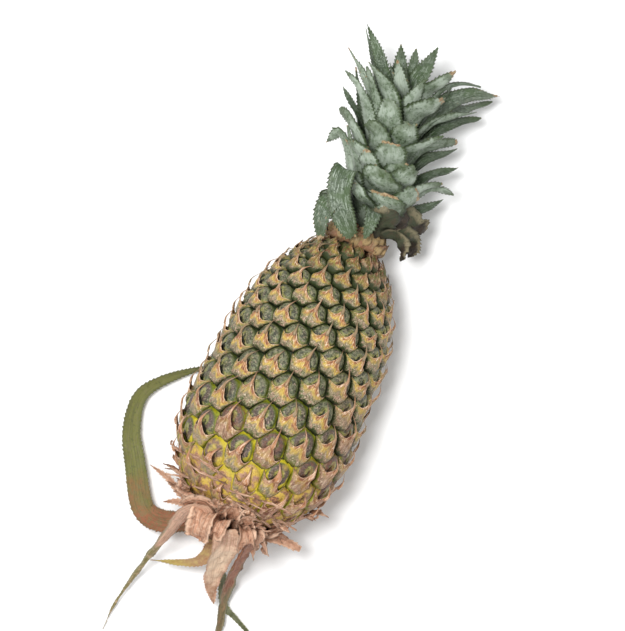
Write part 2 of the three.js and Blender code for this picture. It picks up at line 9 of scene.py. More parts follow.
import bmesh
import bpy
import numpy as np
from bpy.props import FloatProperty, FloatVectorProperty, PointerProperty
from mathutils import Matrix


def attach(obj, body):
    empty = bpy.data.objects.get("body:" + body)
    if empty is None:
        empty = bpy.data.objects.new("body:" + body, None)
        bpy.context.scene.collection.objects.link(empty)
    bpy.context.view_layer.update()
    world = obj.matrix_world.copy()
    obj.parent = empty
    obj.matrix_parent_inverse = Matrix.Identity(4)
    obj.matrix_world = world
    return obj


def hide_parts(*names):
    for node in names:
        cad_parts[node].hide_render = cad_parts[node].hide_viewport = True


bl_info = {
    "name": "Pineapple",
    "version": (1, 0, 0),
    "blender": (4, 5, 0),
    "location": "3D View > Sidebar > Pineapple",
    "description": "Adds a whole pineapple with its crown, its stalk and its dry leaves",
    "category": "Add Mesh",
}

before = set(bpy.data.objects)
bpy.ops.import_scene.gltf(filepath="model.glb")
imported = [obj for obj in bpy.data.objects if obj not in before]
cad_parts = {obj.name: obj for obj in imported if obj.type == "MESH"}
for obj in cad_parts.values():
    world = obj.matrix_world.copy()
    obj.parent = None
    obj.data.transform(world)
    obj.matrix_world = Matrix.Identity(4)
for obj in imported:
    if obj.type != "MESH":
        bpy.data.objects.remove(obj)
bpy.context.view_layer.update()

MM = 0.001
BODY = "root"

# ---- driving dimensions, the same as the solids' ----------------------------------------

# The fruit's outline as [along the axis, radius] in mm; 0 is over the origin.
FRUIT_OUTLINE = [
    [-84, 0], [-83.6, 10], [-82, 20], [-77.5, 30], [-68.4, 37.6], [-57, 44.1], [-43, 48.5],
    [-28.5, 49.6], [-11.4, 48.4], [5.7, 46.9], [22.8, 45.9], [34.2, 44.4], [45.6, 41.7],
    [57, 37.2], [68.4, 30.6], [77, 23.7], [83, 16.5], [85.6, 9], [86, 0],
]
AXIS_DROP = math.radians(4.3)
AXIS_HEIGHT = 46.6 * MM

# The eyes follow one spiral. Each has its neighbours 8, 13 and 21 eyes on.
EYE_TURN = math.radians(137.39)
EYE_PHASE = math.radians(95.7)
EYE_FIRST = 2 * MM
EYE_STEP = 0.678 * MM
EYE_STEP_AT = 162 * MM
EYE_STEP_FALL = 0.0046
EYE_STEP_LEAST = 0.62 * MM
NEAR_STEP = 8
FAR_STEP = 13
CROWN_COVERS = 15 * MM
REST_FLAT = math.radians(11)
REST_BLEND = math.radians(10)

CROWN_AT = 90 * MM
CROWN_LEAN = math.radians(-6)
CROWN_PITCH = math.radians(1.5)
STEM_OUTLINE = [[-1, 0], [-1, 12], [8, 11.5], [30, 10], [55, 7.5], [74, 5], [84, 0]]
COLLAR_OUTLINE = [[-3.1, 0], [-3.4, 9], [-4.7, 15], [-3.3, 17], [1, 17], [6, 14.5], [9, 10], [9, 0]]
ROOT_SINK = 0.85

BLADE_THICK = 1.5 * MM
LEAST_HALF = 0.5 * MM
BLADE_GUTTER = 0.22
BLADE_SHAPE = {"peak": 0.35, "root": 0.55, "taper": 2.2}

STALK_FROM = -85 * MM
STALK_LENGTH = 15 * MM
STALK_RADIUS = 8.5 * MM

# Crown leaves as (degrees from the top toward +X, height up the stem, width, twist in
# degrees, share of the tip broken off, places that the midrib passes), in mm.
CROWN_LEAVES = [
    (-140, 58, 8.5, -10, 0, [(-18, 169, 50), (-30, 186, 60), (-46, 202, 64)]),
    (-115, 52, 8, 0, 0, [(-22, 163, 42), (-32, 182, 48), (-46, 201, 52)]),
    (-28, 60, 15, -10, 0, [(-14, 164, 62), (-23, 174, 70), (-36, 182, 73)]),
    (-10, 50, 16, 0, 0.22, [(-10, 152, 68), (-13, 159, 76), (-17, 168, 80)]),
    (-30, 40, 16, 0, 0.15, [(-10, 140, 64), (-15, 148, 71), (-24, 151, 72)]),
    (30, 44, 18, 0, 0.25, [(1, 147, 62), (0, 154, 70), (0, 162, 72)]),
    (0, 32, 19, 0, 0.3, [(-2, 134, 70), (-3, 140, 79), (-6, 146, 84)]),
    (-10, 20, 24, 0, 0.25, [(0, 120, 66), (-3, 124, 74), (-3, 131, 80)]),
    (40, 22, 21, 0, 0.2, [(8, 124, 62), (11, 131, 67), (14, 140, 68)]),
    (40, 52, 20, 0, 0.12, [(0, 164, 57), (6, 173, 63), (12, 182, 65)]),
    (45, 60, 17, 0, 0.05, [(0, 178, 57), (6, 188, 64), (11, 199, 65)]),
    (120, 66, 14, 30, 0, [(-6, 180, 46), (-5, 194, 52), (-4, 208, 54)]),
    (140, 70, 10, 10, 0, [(-9, 179, 42), (-11, 190, 45), (-15, 203, 46)]),
    (165, 72, 11, 0, 0, [(-12, 177, 40), (-18, 189, 42), (-24, 202, 43)]),
    (10, 72, 10, 0, 0, [(-10, 172, 56), (-15, 180, 61), (-22, 191, 62)]),
    (-60, 76, 7, 0, 0, [(-15, 170, 50), (-19, 178, 52), (-25, 189, 52)]),
    (60, 78, 7, 0, 0, [(-8, 174, 50), (-11, 180, 52), (-16, 190, 53)]),
    (-55, 48, 9, 0, 0, [(-24, 161, 56), (-35, 174, 60), (-50, 186, 58)]),
    (-40, 42, 10, 0, 0, [(-25, 157, 58), (-36, 168, 63), (-46, 173, 63)]),
    (-125, 40, 9, 0, 0, [(-28, 157, 42), (-36, 169, 46), (-42, 179, 46)]),
    (-115, 32, 10, 0, 0, [(-27, 151, 44), (-36, 159, 47), (-44, 166, 44)]),
    (-62, 30, 14, 0, 0.15, [(-21, 137, 56), (-32, 148, 58), (-41, 153, 52)]),
    (-55, 16, 11, 0, 0, [(-23, 129, 48), (-34, 140, 52), (-39, 133, 42)]),
    (-40, 30, 15, 0, 0.1, [(-12, 131, 62), (-21, 135, 64), (-29, 137, 60)]),
    (-32, 18, 14, 0, 0.3, [(-21, 122, 68), (-18, 106, 71), (-2, 88, 68)]),
    (-50, 8, 15, 10, 0.1, [(-20, 104, 62), (-22, 93, 65), (-18, 80, 64)]),
    (-5, 4, 12, 0, 0, [(1, 107, 66), (3, 100, 69), (4, 91, 68)]),
    (75, 60, 11, 15, 0, [(7, 183, 44), (16, 195, 42), (28, 200, 34)]),
    (125, 52, 17, 20, 0.05, [(11, 175, 38), (23, 191, 34), (40, 201, 24)]),
    (125, 46, 14, 15, 0, [(12, 170, 31), (25, 184, 26), (38, 197, 18)]),
    (120, 42, 15, 20, 0, [(12, 160, 36), (23, 174, 31), (36, 185, 24)]),
    (70, 44, 12, 10, 0, [(10, 164, 44), (20, 176, 40), (32, 186, 32)]),
    (65, 30, 15, 0, 0.1, [(12, 150, 44), (21, 159, 40), (30, 166, 34)]),
    (115, 26, 14, 15, 0, [(16, 145, 36), (24, 155, 31), (31, 163, 24)]),
    (110, 14, 15, 20, 0, [(20, 135, 38), (28, 145, 33), (36, 153, 28)]),
    (60, 8, 11, 0, 0, [(22, 128, 46), (30, 135, 44), (40, 137, 36)]),
    (115, 4, 12, 20, 0, [(24, 117, 36), (30, 125, 30), (36, 133, 24)]),
    (-45, 12, 14, 0, 0.1, [(-5, 114, 58), (-12, 117, 64), (-19, 121, 62)]),
    (-5, 11, 26, 0, 0.3, [(5, 111, 62), (4, 115, 68), (3, 120, 72)]),
    (45, 7, 22, 0, 0.2, [(14, 115, 57), (17, 121, 61), (22, 128, 58)]),
]

# Dead scales at the foot of the crown, in the same form.
DEAD_SCALES = [
    (35, 1, 21, 0, 0.3, [(13, 105, 60), (17, 109, 58), (23, 112, 50)]),
    (65, 1, 21, 0, 0.35, [(18, 107, 48), (25, 107, 42), (32, 109, 32)]),
    (80, 2, 16, 0, 0.2, [(21, 102, 42), (27, 100, 36), (31, 93, 28)]),
    (55, 3, 11, 0, 0.1, [(17, 99, 52), (24, 97, 50), (29, 89, 44)]),
]

# Small leaves among the others low on the crown, in the same form.
INNER_LEAVES = [
    (-22, 24, 17, 0, 0.1, [(-9, 127, 62), (-13, 131, 70), (-17, 138, 72)]),
    (20, 26, 18, 0, 0.15, [(5, 128, 63), (5, 134, 71), (6, 141, 74)]),
    (-30, 8, 17, 0, 0.1, [(-4, 108, 59), (-10, 112, 65), (-15, 119, 66)]),
    (62, 14, 17, 0, 0, [(18, 124, 52), (23, 132, 54), (31, 139, 52)]),
    (15, 5, 18, 0, 0.1, [(7, 106, 59), (9, 110, 63), (11, 116, 66)]),
    (-62, 22, 13, 0, 0, [(-18, 127, 54), (-26, 137, 58), (-32, 146, 56)]),
    (52, 36, 14, 0, 0, [(7, 146, 58), (14, 155, 62), (20, 163, 62)]),
    (-48, 50, 12, 0, 0, [(-20, 158, 59), (-28, 170, 64), (-36, 180, 65)]),
    (22, 60, 13, 0, 0, [(-5, 165, 58), (-4, 176, 64), (-3, 187, 66)]),
    (-80, 2, 15, 0, 0.1, [(-16, 104, 48), (-24, 108, 50), (-30, 102, 46)]),
]

# The small scales over the collar, and where they start from the stem's foot.
FOOT_SCALES = 70
FOOT_FROM = -7
FOOT_SPAN = 14

UNDER_COUNT = 15
UNDER_WIDTH = 14
UNDER_FROM = 112
UNDER_SPAN = 136
UNDER_STEP = 4.3
UNDER_LOWEST = 3
GOLDEN = 0.618
SEED = 11

# The long dry leaves round the stalk: width, twist in degrees, degrees from the top toward +X
# of those that bend over the rim of the fruit's base first, outline, then the places that each
# passes from beside the stalk to its tip, in mm.
BASE_LEAVES = {
    "base_leaf_loop": (13, 45, None, {"peak": 0.3, "root": 0.7, "taper": 1.6}, [
        (-3, -94.5, 42.8), (-11, -96, 37), (-18, -98, 32), (-25, -102, 26), (-33, -105.5, 18),
        (-41, -106, 11), (-49, -101, 9), (-62, -82, 8), (-72, -66, 7), (-76, -47, 7),
        (-69, -33, 7), (-52, -17, 6), (-38, -10, 5)]),
    "base_leaf_pink": (13, 0, -50, {"peak": 0.25, "root": 0.6, "taper": 0.8}, [
        (-9, -94, 60), (-12.5, -91, 71), (-15, -84, 81), (-19, -87, 77), (-22.5, -96.5, 61),
        (-26, -110, 41), (-30, -124, 26), (-34.5, -143, 12), (-38, -163, 6), (-38.2, -179.5, 2)]),
    "base_leaf_yellow": (7.5, 0, None, {"peak": 0.3, "root": 0.9, "taper": 1.2}, [
        (-1, -99, 43.8), (-1, -104, 39), (-1, -110, 34), (-3.5, -115, 30), (-8, -119, 26),
        (-17, -123.5, 22), (-30, -129, 17)]),
    "base_leaf_cream": (17, 0, 5, {"peak": 0.35, "root": 0.5, "taper": 1.8}, [
        (1, -94, 63), (0.5, -92, 71), (1, -90.5, 77), (3.5, -94, 73), (5, -101.5, 63),
        (5.6, -109, 49), (6.5, -119, 36), (9.5, -128, 24), (14.5, -137, 13.5)]),
    "base_leaf_brown": (13, 0, 55, {"peak": 0.3, "root": 0.5, "taper": 2.5}, [
        (8.4, -94, 59.2), (13, -92, 64), (16, -90.5, 67), (16.5, -95.5, 60), (16, -101.5, 50),
        (15.8, -109.5, 37), (16.5, -121.6, 21), (18.5, -134, 11.5), (21.5, -144, 9),
        (24, -152, 7.5), (29, -164, 6)]),
    "base_leaf_thin": (5, 0, None, {"peak": 0.4, "root": 0.8, "taper": 2}, [
        (6.5, -97, 44.2), (6.5, -104, 41), (7, -109, 35), (9.5, -114, 26), (13, -122, 9),
        (18, -132, 5.5), (22, -137, 5), (29.5, -140, 4.5), (37, -143.4, 4), (48, -148, 3)]),
}

# Their slots, the two shares of the length at which their colours change, the settings with
# the colours of the root, the middle, the tip, the margin, the darker and the paler parts, and
# the depth of their crumples in mm.
LEAF_FINISHES = {
    "base_leaf_loop": (
        "olive_leaf", (0.36, 0.95), "rust olive olive_dark olive_dark olive_dark olive_brown", 0.3),
    "base_leaf_pink": (
        "dry_leaf", (0.2, 0.55), "pink pink olive olive_grey paper_brown pink_pale", 0.3),
    "base_leaf_yellow": (
        "olive_leaf", (0.55, 0.93), "tan yellow rust olive rust yellow_pale", 0.3),
    "base_leaf_cream": (
        "pale_leaf", (0.3, 0.72), "pink cream paper pink tan cream", 0.7),
    "base_leaf_brown": (
        "dry_leaf", (0.15, 0.66), "paper rust olive_brown olive_grey paper_dark paper", 0.6),
    "base_leaf_thin": (
        "olive_leaf", (0.2, 0.7), "olive olive_grey olive_dark olive olive_dark olive_grey", 0.3),
}

# Crumpled lobes round the roots of the long leaves: width, degrees from the top toward +X,
# places, in mm.
LOBES = [
    (13, 0, [(-1, -89, 62), (-2, -86, 74), (-3, -86, 81), (-3, -91, 82), (-3, -96, 78)]),
    (12, 25, [(6, -89, 62), (9, -86, 72), (12, -86, 78), (14, -91, 77), (15, -96, 71)]),
    (12, 50, [(9, -89, 58), (14, -86, 67), (18, -86, 71), (21, -92, 68), (21, -97, 62)]),
    (14, -45, [(-5, -89, 61), (-12, -84, 73), (-17, -82, 78), (-21, -84, 76), (-23, -88, 71)]),
    (15, -25, [(-5, -89, 62), (-9, -86, 75), (-12, -86, 83), (-11, -94, 83), (-9, -102, 75)]),
    (12, -70, [(-9, -89, 54), (-17, -86, 62), (-22, -87, 66), (-26, -93, 60)]),
    (11, 80, [(9, -90, 52), (19, -87, 56), (24, -89, 57), (28, -95, 50)]),
]

# Small dry leaves on the stalk: width, share of the tip broken off, places, in mm.
STALK_LEAVES = [
    (4, 0, [(-6, -89, 50), (-20, -85, 44), (-30, -84, 40), (-40, -80, 34), (-53, -78, 26)]),
    (5, 0, [(-6, -92, 48), (-20, -89, 38), (-29, -90, 33), (-37, -94, 28)]),
    (5, 0.4, [(6, -90, 48), (21, -87, 46), (33, -84, 45), (46, -84, 44)]),
    (8, 0.4, [(-6, -89, 53), (-10, -93, 48), (-11, -100, 42)]),
]

# ---- the finer form --------------------------------------------------------------------

GRID_MERGE = 0.002 * MM           # vertices of a grid that are nearer are merged
SEAM_MERGE = 0.01 * MM            # and those of two eyes
LEAF_SHARP = math.radians(50)     # edges of a leaf that are sharper stay sharp

GROOVE_LOSS = 0.6                 # how much shallower the grooves get near the stalk
GROOVE_LOSS_FROM = 0.28           # from this share of the outline down
CROWNING = (0.74, 0.9)            # between these shares the bracts become like the topmost
FULL_HALF_WIDTH = 9 * MM          # half the width of an eye in the middle of the fruit
RING_SIDES = 5                    # steps along each of a cell's six sides
RINGS = (0, 0.22, 0.42, 0.58, 0.7, 0.8, 0.87, 0.925, 0.965, 1)
ROUND_TO = 0.86                   # the rings are round up to this one and then get six sides
ROUND_SHARE = 0.95                # the size of a round one against its cell
BALL_MIDDLE = 0.12                # an eye's ball: its middle, up from the cell's
BALL_RADII = (0.9, 0.84)          # and its radii, as shares of half the cell's size
SOCKET_BLEND = 0.9 * MM           # how gently the rind sinks under a bract's edge
CAP_STEPS = 4                     # rings from the outermost eyes to a pole
RIM_SHIFT = 0.98 * MM             # of the lower rim, outward and also toward the stalk

BRACT_COLUMNS = 13
BRACT_ROWS = (0, 0.07, 0.17, 0.32, 0.5, 0.68, 0.85, 1)
BRACT_THICK = 0.4 * MM
BRACT_INSET = 0.985               # a bract's foot, as a share of the way to the cell's edge
EDGE_SAG = 3.0                    # how late a bract's free edge rises to the spine
EDGE_DIP = 0.3                    # how deep it dips on each side, in half cells
EDGE_RAGGED = 0.5 * MM            # how torn a bract's free edge is
BRACT_CREASE = 0.6 * MM           # how uneven a bract is
TOPMOST_LIFT = 1.8 * MM           # how much more the topmost bracts stand out
TOPMOST_SPREAD = 0.1              # and how much larger they are, as a share
BRACT_REACH = 0.3                 # from its cell's middle to a bract's point, in half cells
REACH_BY_VIGOUR = 0.2             # how much more that is for the strongest
REACH_TOPMOST = 0.22              # and for the topmost

SPINE_SIDES = 6
SPINE_FLAT = 0.45                 # a spine's thickness, as a share of its width
SPINE_WIDTHS = (0.75, 1, 0.85, 0.6, 0.4, 0.26, 0.16, 0.06)
SPINE_BROAD_BASE = 1.5            # how much broader the lowest spines are
SPINE_BROAD_TOPMOST = 0.8         # and the topmost
SPINE_SINK = 0.9 * MM             # how deep a spine starts under the bract's keel
SPINE_RISE = 1.2 * MM             # how much it rises at first
SPINE_DROP = 3.0 * MM             # and how much it falls toward the fruit to its tip
SPINE_LEAN = math.radians(18)     # on the flanks the spines lean toward the top
SPINE_SPREAD = math.radians(38)   # how much their directions vary

BLADE_COLUMNS = 6                 # over each face of a blade
TOOTH_POINTS = (0.0, 0.3, 1.0)    # how far the edge stands out at the rows of each tooth
TOOTH_ROWS = len(TOOTH_POINTS)
TOOTH_HOOK = 0.25                 # how far a tooth points to the tip, as a share of the pitch
RIPPLE_LENGTH = 23 * MM           # from one wave of a blade's edge to the next
TORN_FROM = 0.82                  # from here on a broken leaf's end rounds off
TEARS = 9                         # over a leaf's torn end

# A blade's measures in metres: the pitch and length of its teeth, its thickness, the ripple
# of its edges, how ragged its tip is and how far it is dry, and its crumples. The gutter's
# depth is a share of its width, and its shape is that of its outline.
BLADE_MEASURES = {
    "pitch": 2.4 * MM, "tooth": 0.9 * MM, "thick": BLADE_THICK, "ripple": 0.5 * MM,
    "ragged": 0.0, "dry": 2 * MM, "crumple": 0.15 * MM, "gutter": BLADE_GUTTER,
    "shape": BLADE_SHAPE,
}

DRY_SCALES = 34                   # papery scales against the fruit's base
THREADS = 60                      # and dry threads round them
STALK_OUTLINE = [[0, 0], [0, 0.9], [4, 1], [STALK_LENGTH / MM, 0.92], [STALK_LENGTH / MM, 0]]
STALK_SIDES = 48
STALK_RIBS = 7
STALK_RIB = 0.04                  # the height of the stalk's ribs, as a share of its radius
STEM_SIDES = 32
COLLAR_ROWS = 25
FOOT_SEED = 7
SCALE_SEED = 5
LEAF_SEED = 20                    # of the first long leaf; each of the next has one more
PATH_STEPS = 2000


def srgb(code):
    """A colour's linear values from its hexadecimal code."""
    parts = [int(code[i:i + 2], 16) / 255 for i in (0, 2, 4)]
    return tuple(c / 12.92 if c <= 0.04045 else ((c + 0.055) / 1.055) ** 2.4 for c in parts)


def colour(name, code, description):
    return FloatVectorProperty(
        name=name, description=description, default=srgb(code), size=3, min=0, max=1, subtype="COLOR")


def length(name, value, description):
    return FloatProperty(
        name=name, description=description, default=value * MM, min=0, subtype="DISTANCE", unit="LENGTH")


# ---- numbers and curves ----------------------------------------------------------------

def unit(vectors):
    """The vectors with a length of 1."""
    return vectors / np.linalg.norm(vectors, axis=-1, keepdims=True)


def smooth(value, low, high):
    """Goes smoothly from 0 to 1 where the value goes from low to high."""
    share = np.clip((value - low) / (high - low), 0, 1)
    return share * share * (3 - 2 * share)


def seeded(seed):
    """Random numbers from 0 to 1 that come out the same each time."""
    state = seed
    while True:
        state = (state * 1664525 + 1013904223) & 0xFFFFFFFF
        yield state / 2 ** 32


def draws(random, count):
    """The next random numbers."""
    return np.array([next(random) for _ in range(count)])


def drawn(random, low, high):
    """A length between two that are given in mm."""
    return (low + (high - low) * next(random)) * MM


def distances(points):
    """How far along a line of points each of them is."""
    return np.concatenate([[0], np.cumsum(np.linalg.norm(np.diff(points, axis=0), axis=1))])


def read_line(at, run, points):
    """Places on a line at some distances, where run holds the distances of its points."""
    return np.stack([np.interp(at, run, column) for column in points.T], axis=-1)


class Path:
    """A smooth curve through points, read by its share of the length."""

    def __init__(self, points, doubled_ends=False):
        points = np.asarray(points, float)
        first, last = points[0], points[-1]
        if not doubled_ends:
            first, last = 2 * first - points[1], 2 * last - points[-2]
        whole = np.vstack([first, points, last])
        steps = np.linspace(0, len(points) - 1, PATH_STEPS)
        start = np.minimum(steps.astype(int), len(points) - 2)
        w = (steps - start)[:, None]
        a, b, c, d = (whole[start + i] for i in range(4))
        pull_b, pull_c = (c - a) / 2, (d - b) / 2
        self.places = (
            b + pull_b * w + (3 * (c - b) - 2 * pull_b - pull_c) * w ** 2
            + (2 * (b - c) + pull_b + pull_c) * w ** 3)
        self.lengths = distances(self.places)
        self.length = self.lengths[-1]
        self.tangents = unit(np.gradient(self.places, axis=0))

    def at(self, share):
        """The places and the directions at shares of the length."""
        at = np.asarray(share, float) * self.length
        return read_line(at, self.lengths, self.places), unit(read_line(at, self.lengths, self.tangents))


# ---- the fruit's surface ---------------------------------------------------------------

AXIS_DIR = np.array([0, math.cos(AXIS_DROP), -math.sin(AXIS_DROP)])
AXIS_UP = np.array([0, math.sin(AXIS_DROP), math.cos(AXIS_DROP)])
SIDE = np.array([1.0, 0, 0])
UP = np.array([0, 0, 1.0])
fruit_path = Path(np.array(FRUIT_OUTLINE) * MM, doubled_ends=True)


def on_axis(along):
    """Places on the fruit's axis, at distances from the one over the origin."""
    return np.array([0, 0, AXIS_HEIGHT]) + np.multiply.outer(along, AXIS_DIR)


def around(angle, side=SIDE, up=AXIS_UP):
    """The direction away from an axis, the fruit's if no other, at an angle from the top."""
    return np.multiply.outer(np.sin(angle), side) + np.multiply.outer(np.cos(angle), up)


def off_axis(place):
    """How far a place is along the fruit's axis, its angle from the top and its distance."""
    offset = np.array(place) - on_axis(0.0)
    side, up = offset @ SIDE, offset @ AXIS_UP
    return offset @ AXIS_DIR, math.atan2(side, up), math.hypot(side, up)


def relief_at(angle):
    """How much of the relief is left at an angle from the top: none where the fruit rests."""
    from_bottom = np.abs(math.pi - np.abs(np.mod(angle + math.pi, 2 * math.pi) - math.pi))
    return smooth(from_bottom, REST_FLAT, REST_FLAT + REST_BLEND)


def on_fruit(arc, angle, lift, shift=0.0):
    """Places on the fruit: arc length from the base pole, angle, height over the outline and
    a shift toward the crown. Nothing goes under the floor."""
    place, tangent = fruit_path.at(np.clip(np.asarray(arc) / fruit_path.length, 0, 1))
    relief = lift * relief_at(angle)
    along = place[..., 0] - tangent[..., 1] * relief + tangent[..., 0] * shift
    radius = np.maximum(place[..., 1] + tangent[..., 0] * relief + tangent[..., 1] * shift, 0)
    point = on_axis(along) + around(angle) * radius[..., None]
    point[..., 2] = np.maximum(point[..., 2], 0)
    return point


def off_fruit(arc, angle, off):
    """A place that stays off the fruit's outline, at an arc length from the base pole."""
    place, tangent = fruit_path.at(arc / fruit_path.length)
    return on_axis(place[0] - tangent[1] * off) + around(angle) * (place[1] + tangent[0] * off)


def eye_spiral():
    """The arc lengths of the eyes from the base pole; they get closer toward the crown."""
    arcs = [EYE_FIRST]
    while arcs[-1] < fruit_path.length:
        step = EYE_STEP + EYE_STEP_FALL * (EYE_STEP_AT - arcs[-1])
        arcs.append(arcs[-1] + max(EYE_STEP_LEAST, step))
    return np.array(arcs[:-1])


def short_turn(places):
    """The turn between two eyes a number of places apart, taken the short way round."""
    turn = places * EYE_TURN
    return turn - 2 * math.pi * round(turn / (2 * math.pi))


def groove_share(arc):
    """How deep the grooves are at an arc length: shallower near the stalk."""
    return 1 - GROOVE_LOSS * smooth(GROOVE_LOSS_FROM - arc / fruit_path.length, 0, 0.1)


class Cell:
    """One eye's ground: its middle, its six corners and what varies from eye to eye.
    Corners go anticlockwise from the right one: right, upper right, top, left, lower left,
    bottom. They are offsets in metres, sideways and toward the crown."""

    def __init__(self, arcs, k, random):
        self.arc = arcs[k]
        self.angle = EYE_PHASE + k * EYE_TURN
        self.radius = fruit_path.at(self.arc / fruit_path.length)[0][1]
        far = NEAR_STEP + FAR_STEP

        def corner(first, step):
            turn = (short_turn(step) + short_turn(far)) / 3 - short_turn(k - first)
            arc = (arcs[first] + arcs[first + step] + arcs[first + far]) / 3
            return [turn * self.radius, arc - self.arc]

        self.corners = np.array([
            corner(k - FAR_STEP, FAR_STEP), corner(k, NEAR_STEP), corner(k, FAR_STEP),
            corner(k - NEAR_STEP, NEAR_STEP), corner(k - far, FAR_STEP), corner(k - far, NEAR_STEP),
        ])
        self.half_width = (self.corners[0, 0] - self.corners[3, 0]) / 2
        self.half_height = (self.corners[2, 1] - self.corners[5, 1]) / 2
        self.tone = next(random)
        self.twist = next(random) - 0.5
        self.vigour = next(random)
        self.share = self.arc / fruit_path.length
        self.crowning = float(smooth(self.share, *CROWNING))
        reach = BRACT_REACH + REACH_BY_VIGOUR * self.vigour + REACH_TOPMOST * self.crowning
        self.foot = np.array([0.2 * self.half_width * self.twist, reach * self.half_height])

    def place(self, offsets, lift, shift=0.0):
        return on_fruit(
            self.arc + offsets[..., 1], self.angle + offsets[..., 0] / self.radius, lift, shift)

    def size(self):
        """How large an eye is against one in the middle of the fruit."""
        return min(1.0, self.half_width / FULL_HALF_WIDTH)

    def edge_side(self, toward_right):
        """The corner at which the bract's free edge ends."""
        return np.where(toward_right[..., None], self.corners[0], self.corners[3])

    def edge_height(self, side, t):
        """How far up the free edge is, from 0 at the bract's point to 1 at a corner."""
        rise = (self.foot[1] - side[..., 1]) * (1 - t) ** EDGE_SAG
        dip = EDGE_DIP * (1 - 0.7 * self.crowning) * (0.7 + 0.6 * self.tone)
        return side[..., 1] + rise - dip * self.half_height * np.sin(math.pi * t ** 0.9)

    def free_edge(self, across):
        """The bract's free edge, from -1 at the left corner to 1 at the right."""
        side = self.edge_side(across > 0)
        t = np.abs(across)
        width = self.foot[0] + (side[..., 0] - self.foot[0]) * t
        return np.stack([width, self.edge_height(side, t)], axis=-1)

    def over_edge(self, offsets):
        """How far places lie past the bract's free edge, toward the crown."""
        side = self.edge_side(offsets[..., 0] > self.foot[0])
        t = np.clip((offsets[..., 0] - self.foot[0]) / (side[..., 0] - self.foot[0]), 0, 1)
        return offsets[..., 1] - self.edge_height(side, t)


def fruit_cells():
    """The cells that the crown's collar leaves free."""
    arcs = eye_spiral()
    random = seeded(SEED)
    far = NEAR_STEP + FAR_STEP
    cells = []
    for k in range(far, len(arcs) - far):
        if arcs[k] > fruit_path.length - CROWN_COVERS:
            break
        cells.append(Cell(arcs, k, random))
    return cells


# ---- meshes ----------------------------------------------------------------------------

def lay_grid(bm, places, values=()):
    """Adds a grid whose vertices go to the places, an array of rows, columns and x y z.
    values gives a layer and its three numbers for each vertex, or for all. Vertices that
    fall on each other are merged, so a tube or a ring closes."""
    rows, columns = places.shape[:2]
    made = bmesh.ops.create_grid(bm, x_segments=columns - 1, y_segments=rows - 1, size=0.5)["verts"]
    for vert, place in zip(made, places.reshape(-1, 3)):
        vert.co = place
    for layer, parts in values:
        *parts, _ = np.broadcast_arrays(*parts, places[..., 0])
        for vert, number in zip(made, np.stack(parts, axis=-1).reshape(-1, 3)):
            vert[layer] = number
    bmesh.ops.remove_doubles(bm, verts=made, dist=GRID_MERGE)


def lay_rings(bm, middles, ring, radii, values=()):
    """Adds a surface of rings with their middles and radii; ring is one with a radius of 1."""
    lay_grid(bm, middles[:, None] + ring * radii[:, None, None], values)


def new_layers(bm, *names):
    """Adds layers of three numbers for each vertex, which the materials read by name."""
    return [bm.verts.layers.float_vector.new(name) for name in names]


def finish_mesh(bm, name, material, sharp=math.pi, outward=True):
    """Makes the object of a piece, at the origin and unturned. Edges sharper than an angle
    stay sharp."""
    if outward:
        bmesh.ops.recalc_face_normals(bm, faces=bm.faces)
    for face in bm.faces:
        face.smooth = True
    for edge in bm.edges:
        edge.smooth = edge.calc_face_angle(0) < sharp
    mesh = bpy.data.meshes.new(name)
    bm.to_mesh(mesh)
    bm.free()
    mesh.materials.append(material)
    piece = bpy.data.objects.new(name, mesh)
    bpy.context.scene.collection.objects.link(piece)
    return piece


def hand_in_leaves(bm, name, material, node):
    """Makes a piece of blades, sets it on the fruit's body and hides its solid."""
    hand_in(finish_mesh(bm, name, material, sharp=LEAF_SHARP), node)


def hand_in(piece, node):
    """The piece rides on the fruit's body and stands for its solid, which is hidden."""
    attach(piece, BODY)
    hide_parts(node)


def tube(bm, middles, radii, facing, own, values):
    """Adds a closed tube along places, with half its width for each; the ends are closed.
    facing is the way its flat side looks. The layer own gets the share round the tube and
    the share along it, and values are as in lay_grid."""
    middles = np.asarray(middles, float)
    radii = np.concatenate([[0], radii, [0]])
    middles = np.vstack([middles[:1], middles, middles[-1:]])
    tangents = np.gradient(middles, axis=0)
    tangents[0], tangents[-1] = tangents[1], tangents[-2]
    tangents = unit(tangents)
    across = unit(np.cross(tangents, facing))
    high = np.cross(across, tangents) * SPINE_FLAT
    share = np.linspace(0, 1, SPINE_SIDES + 1)
    turn = 2 * math.pi * share[:, None]
    ring = across[:, None] * np.cos(turn) + high[:, None] * np.sin(turn)
    along = np.linspace(0, 1, len(middles))[:, None]
    lay_rings(bm, middles, ring, radii, [(own, (share, along, 0)), *values])


# ---- blades ----------------------------------------------------------------------------

def blade_width(share, shape):
    """How wide a blade is at shares of its length, against its widest place."""
    peak, root, taper = shape["peak"], shape["root"], shape["taper"]
    rising = root + (1 - root) * np.sin(np.clip(share / peak, 0, 1) * math.pi / 2)
    falling = 1 - np.clip((share - peak) / (1 - peak), 0, 1) ** taper
    return np.where(share < peak, rising, falling)


def carried(across, tangents):
    """The direction across a blade at each place, turned no more than its curve turns it."""
    level = []
    for tangent in tangents:
        across = unit(across - tangent * (across @ tangent))
        level.append(across)
    return np.array(level)


def wrinkles(along, across, depth, random):
    """Smooth uneven heights over a crumpled blade."""
    first, second, third = (2 * math.pi * next(random) for _ in range(3))
    long_wave = np.sin(2 * math.pi * along / (15 * MM) + 2.1 * across + first)
    short_wave = np.sin(2 * math.pi * along / (8.3 * MM) - 3.3 * across + second)
    cross_wave = np.sin(5.5 * across + third + 2 * math.pi * along / (19 * MM))
    return depth * (0.45 * long_wave + 0.3 * short_wave + 0.4 * cross_wave)


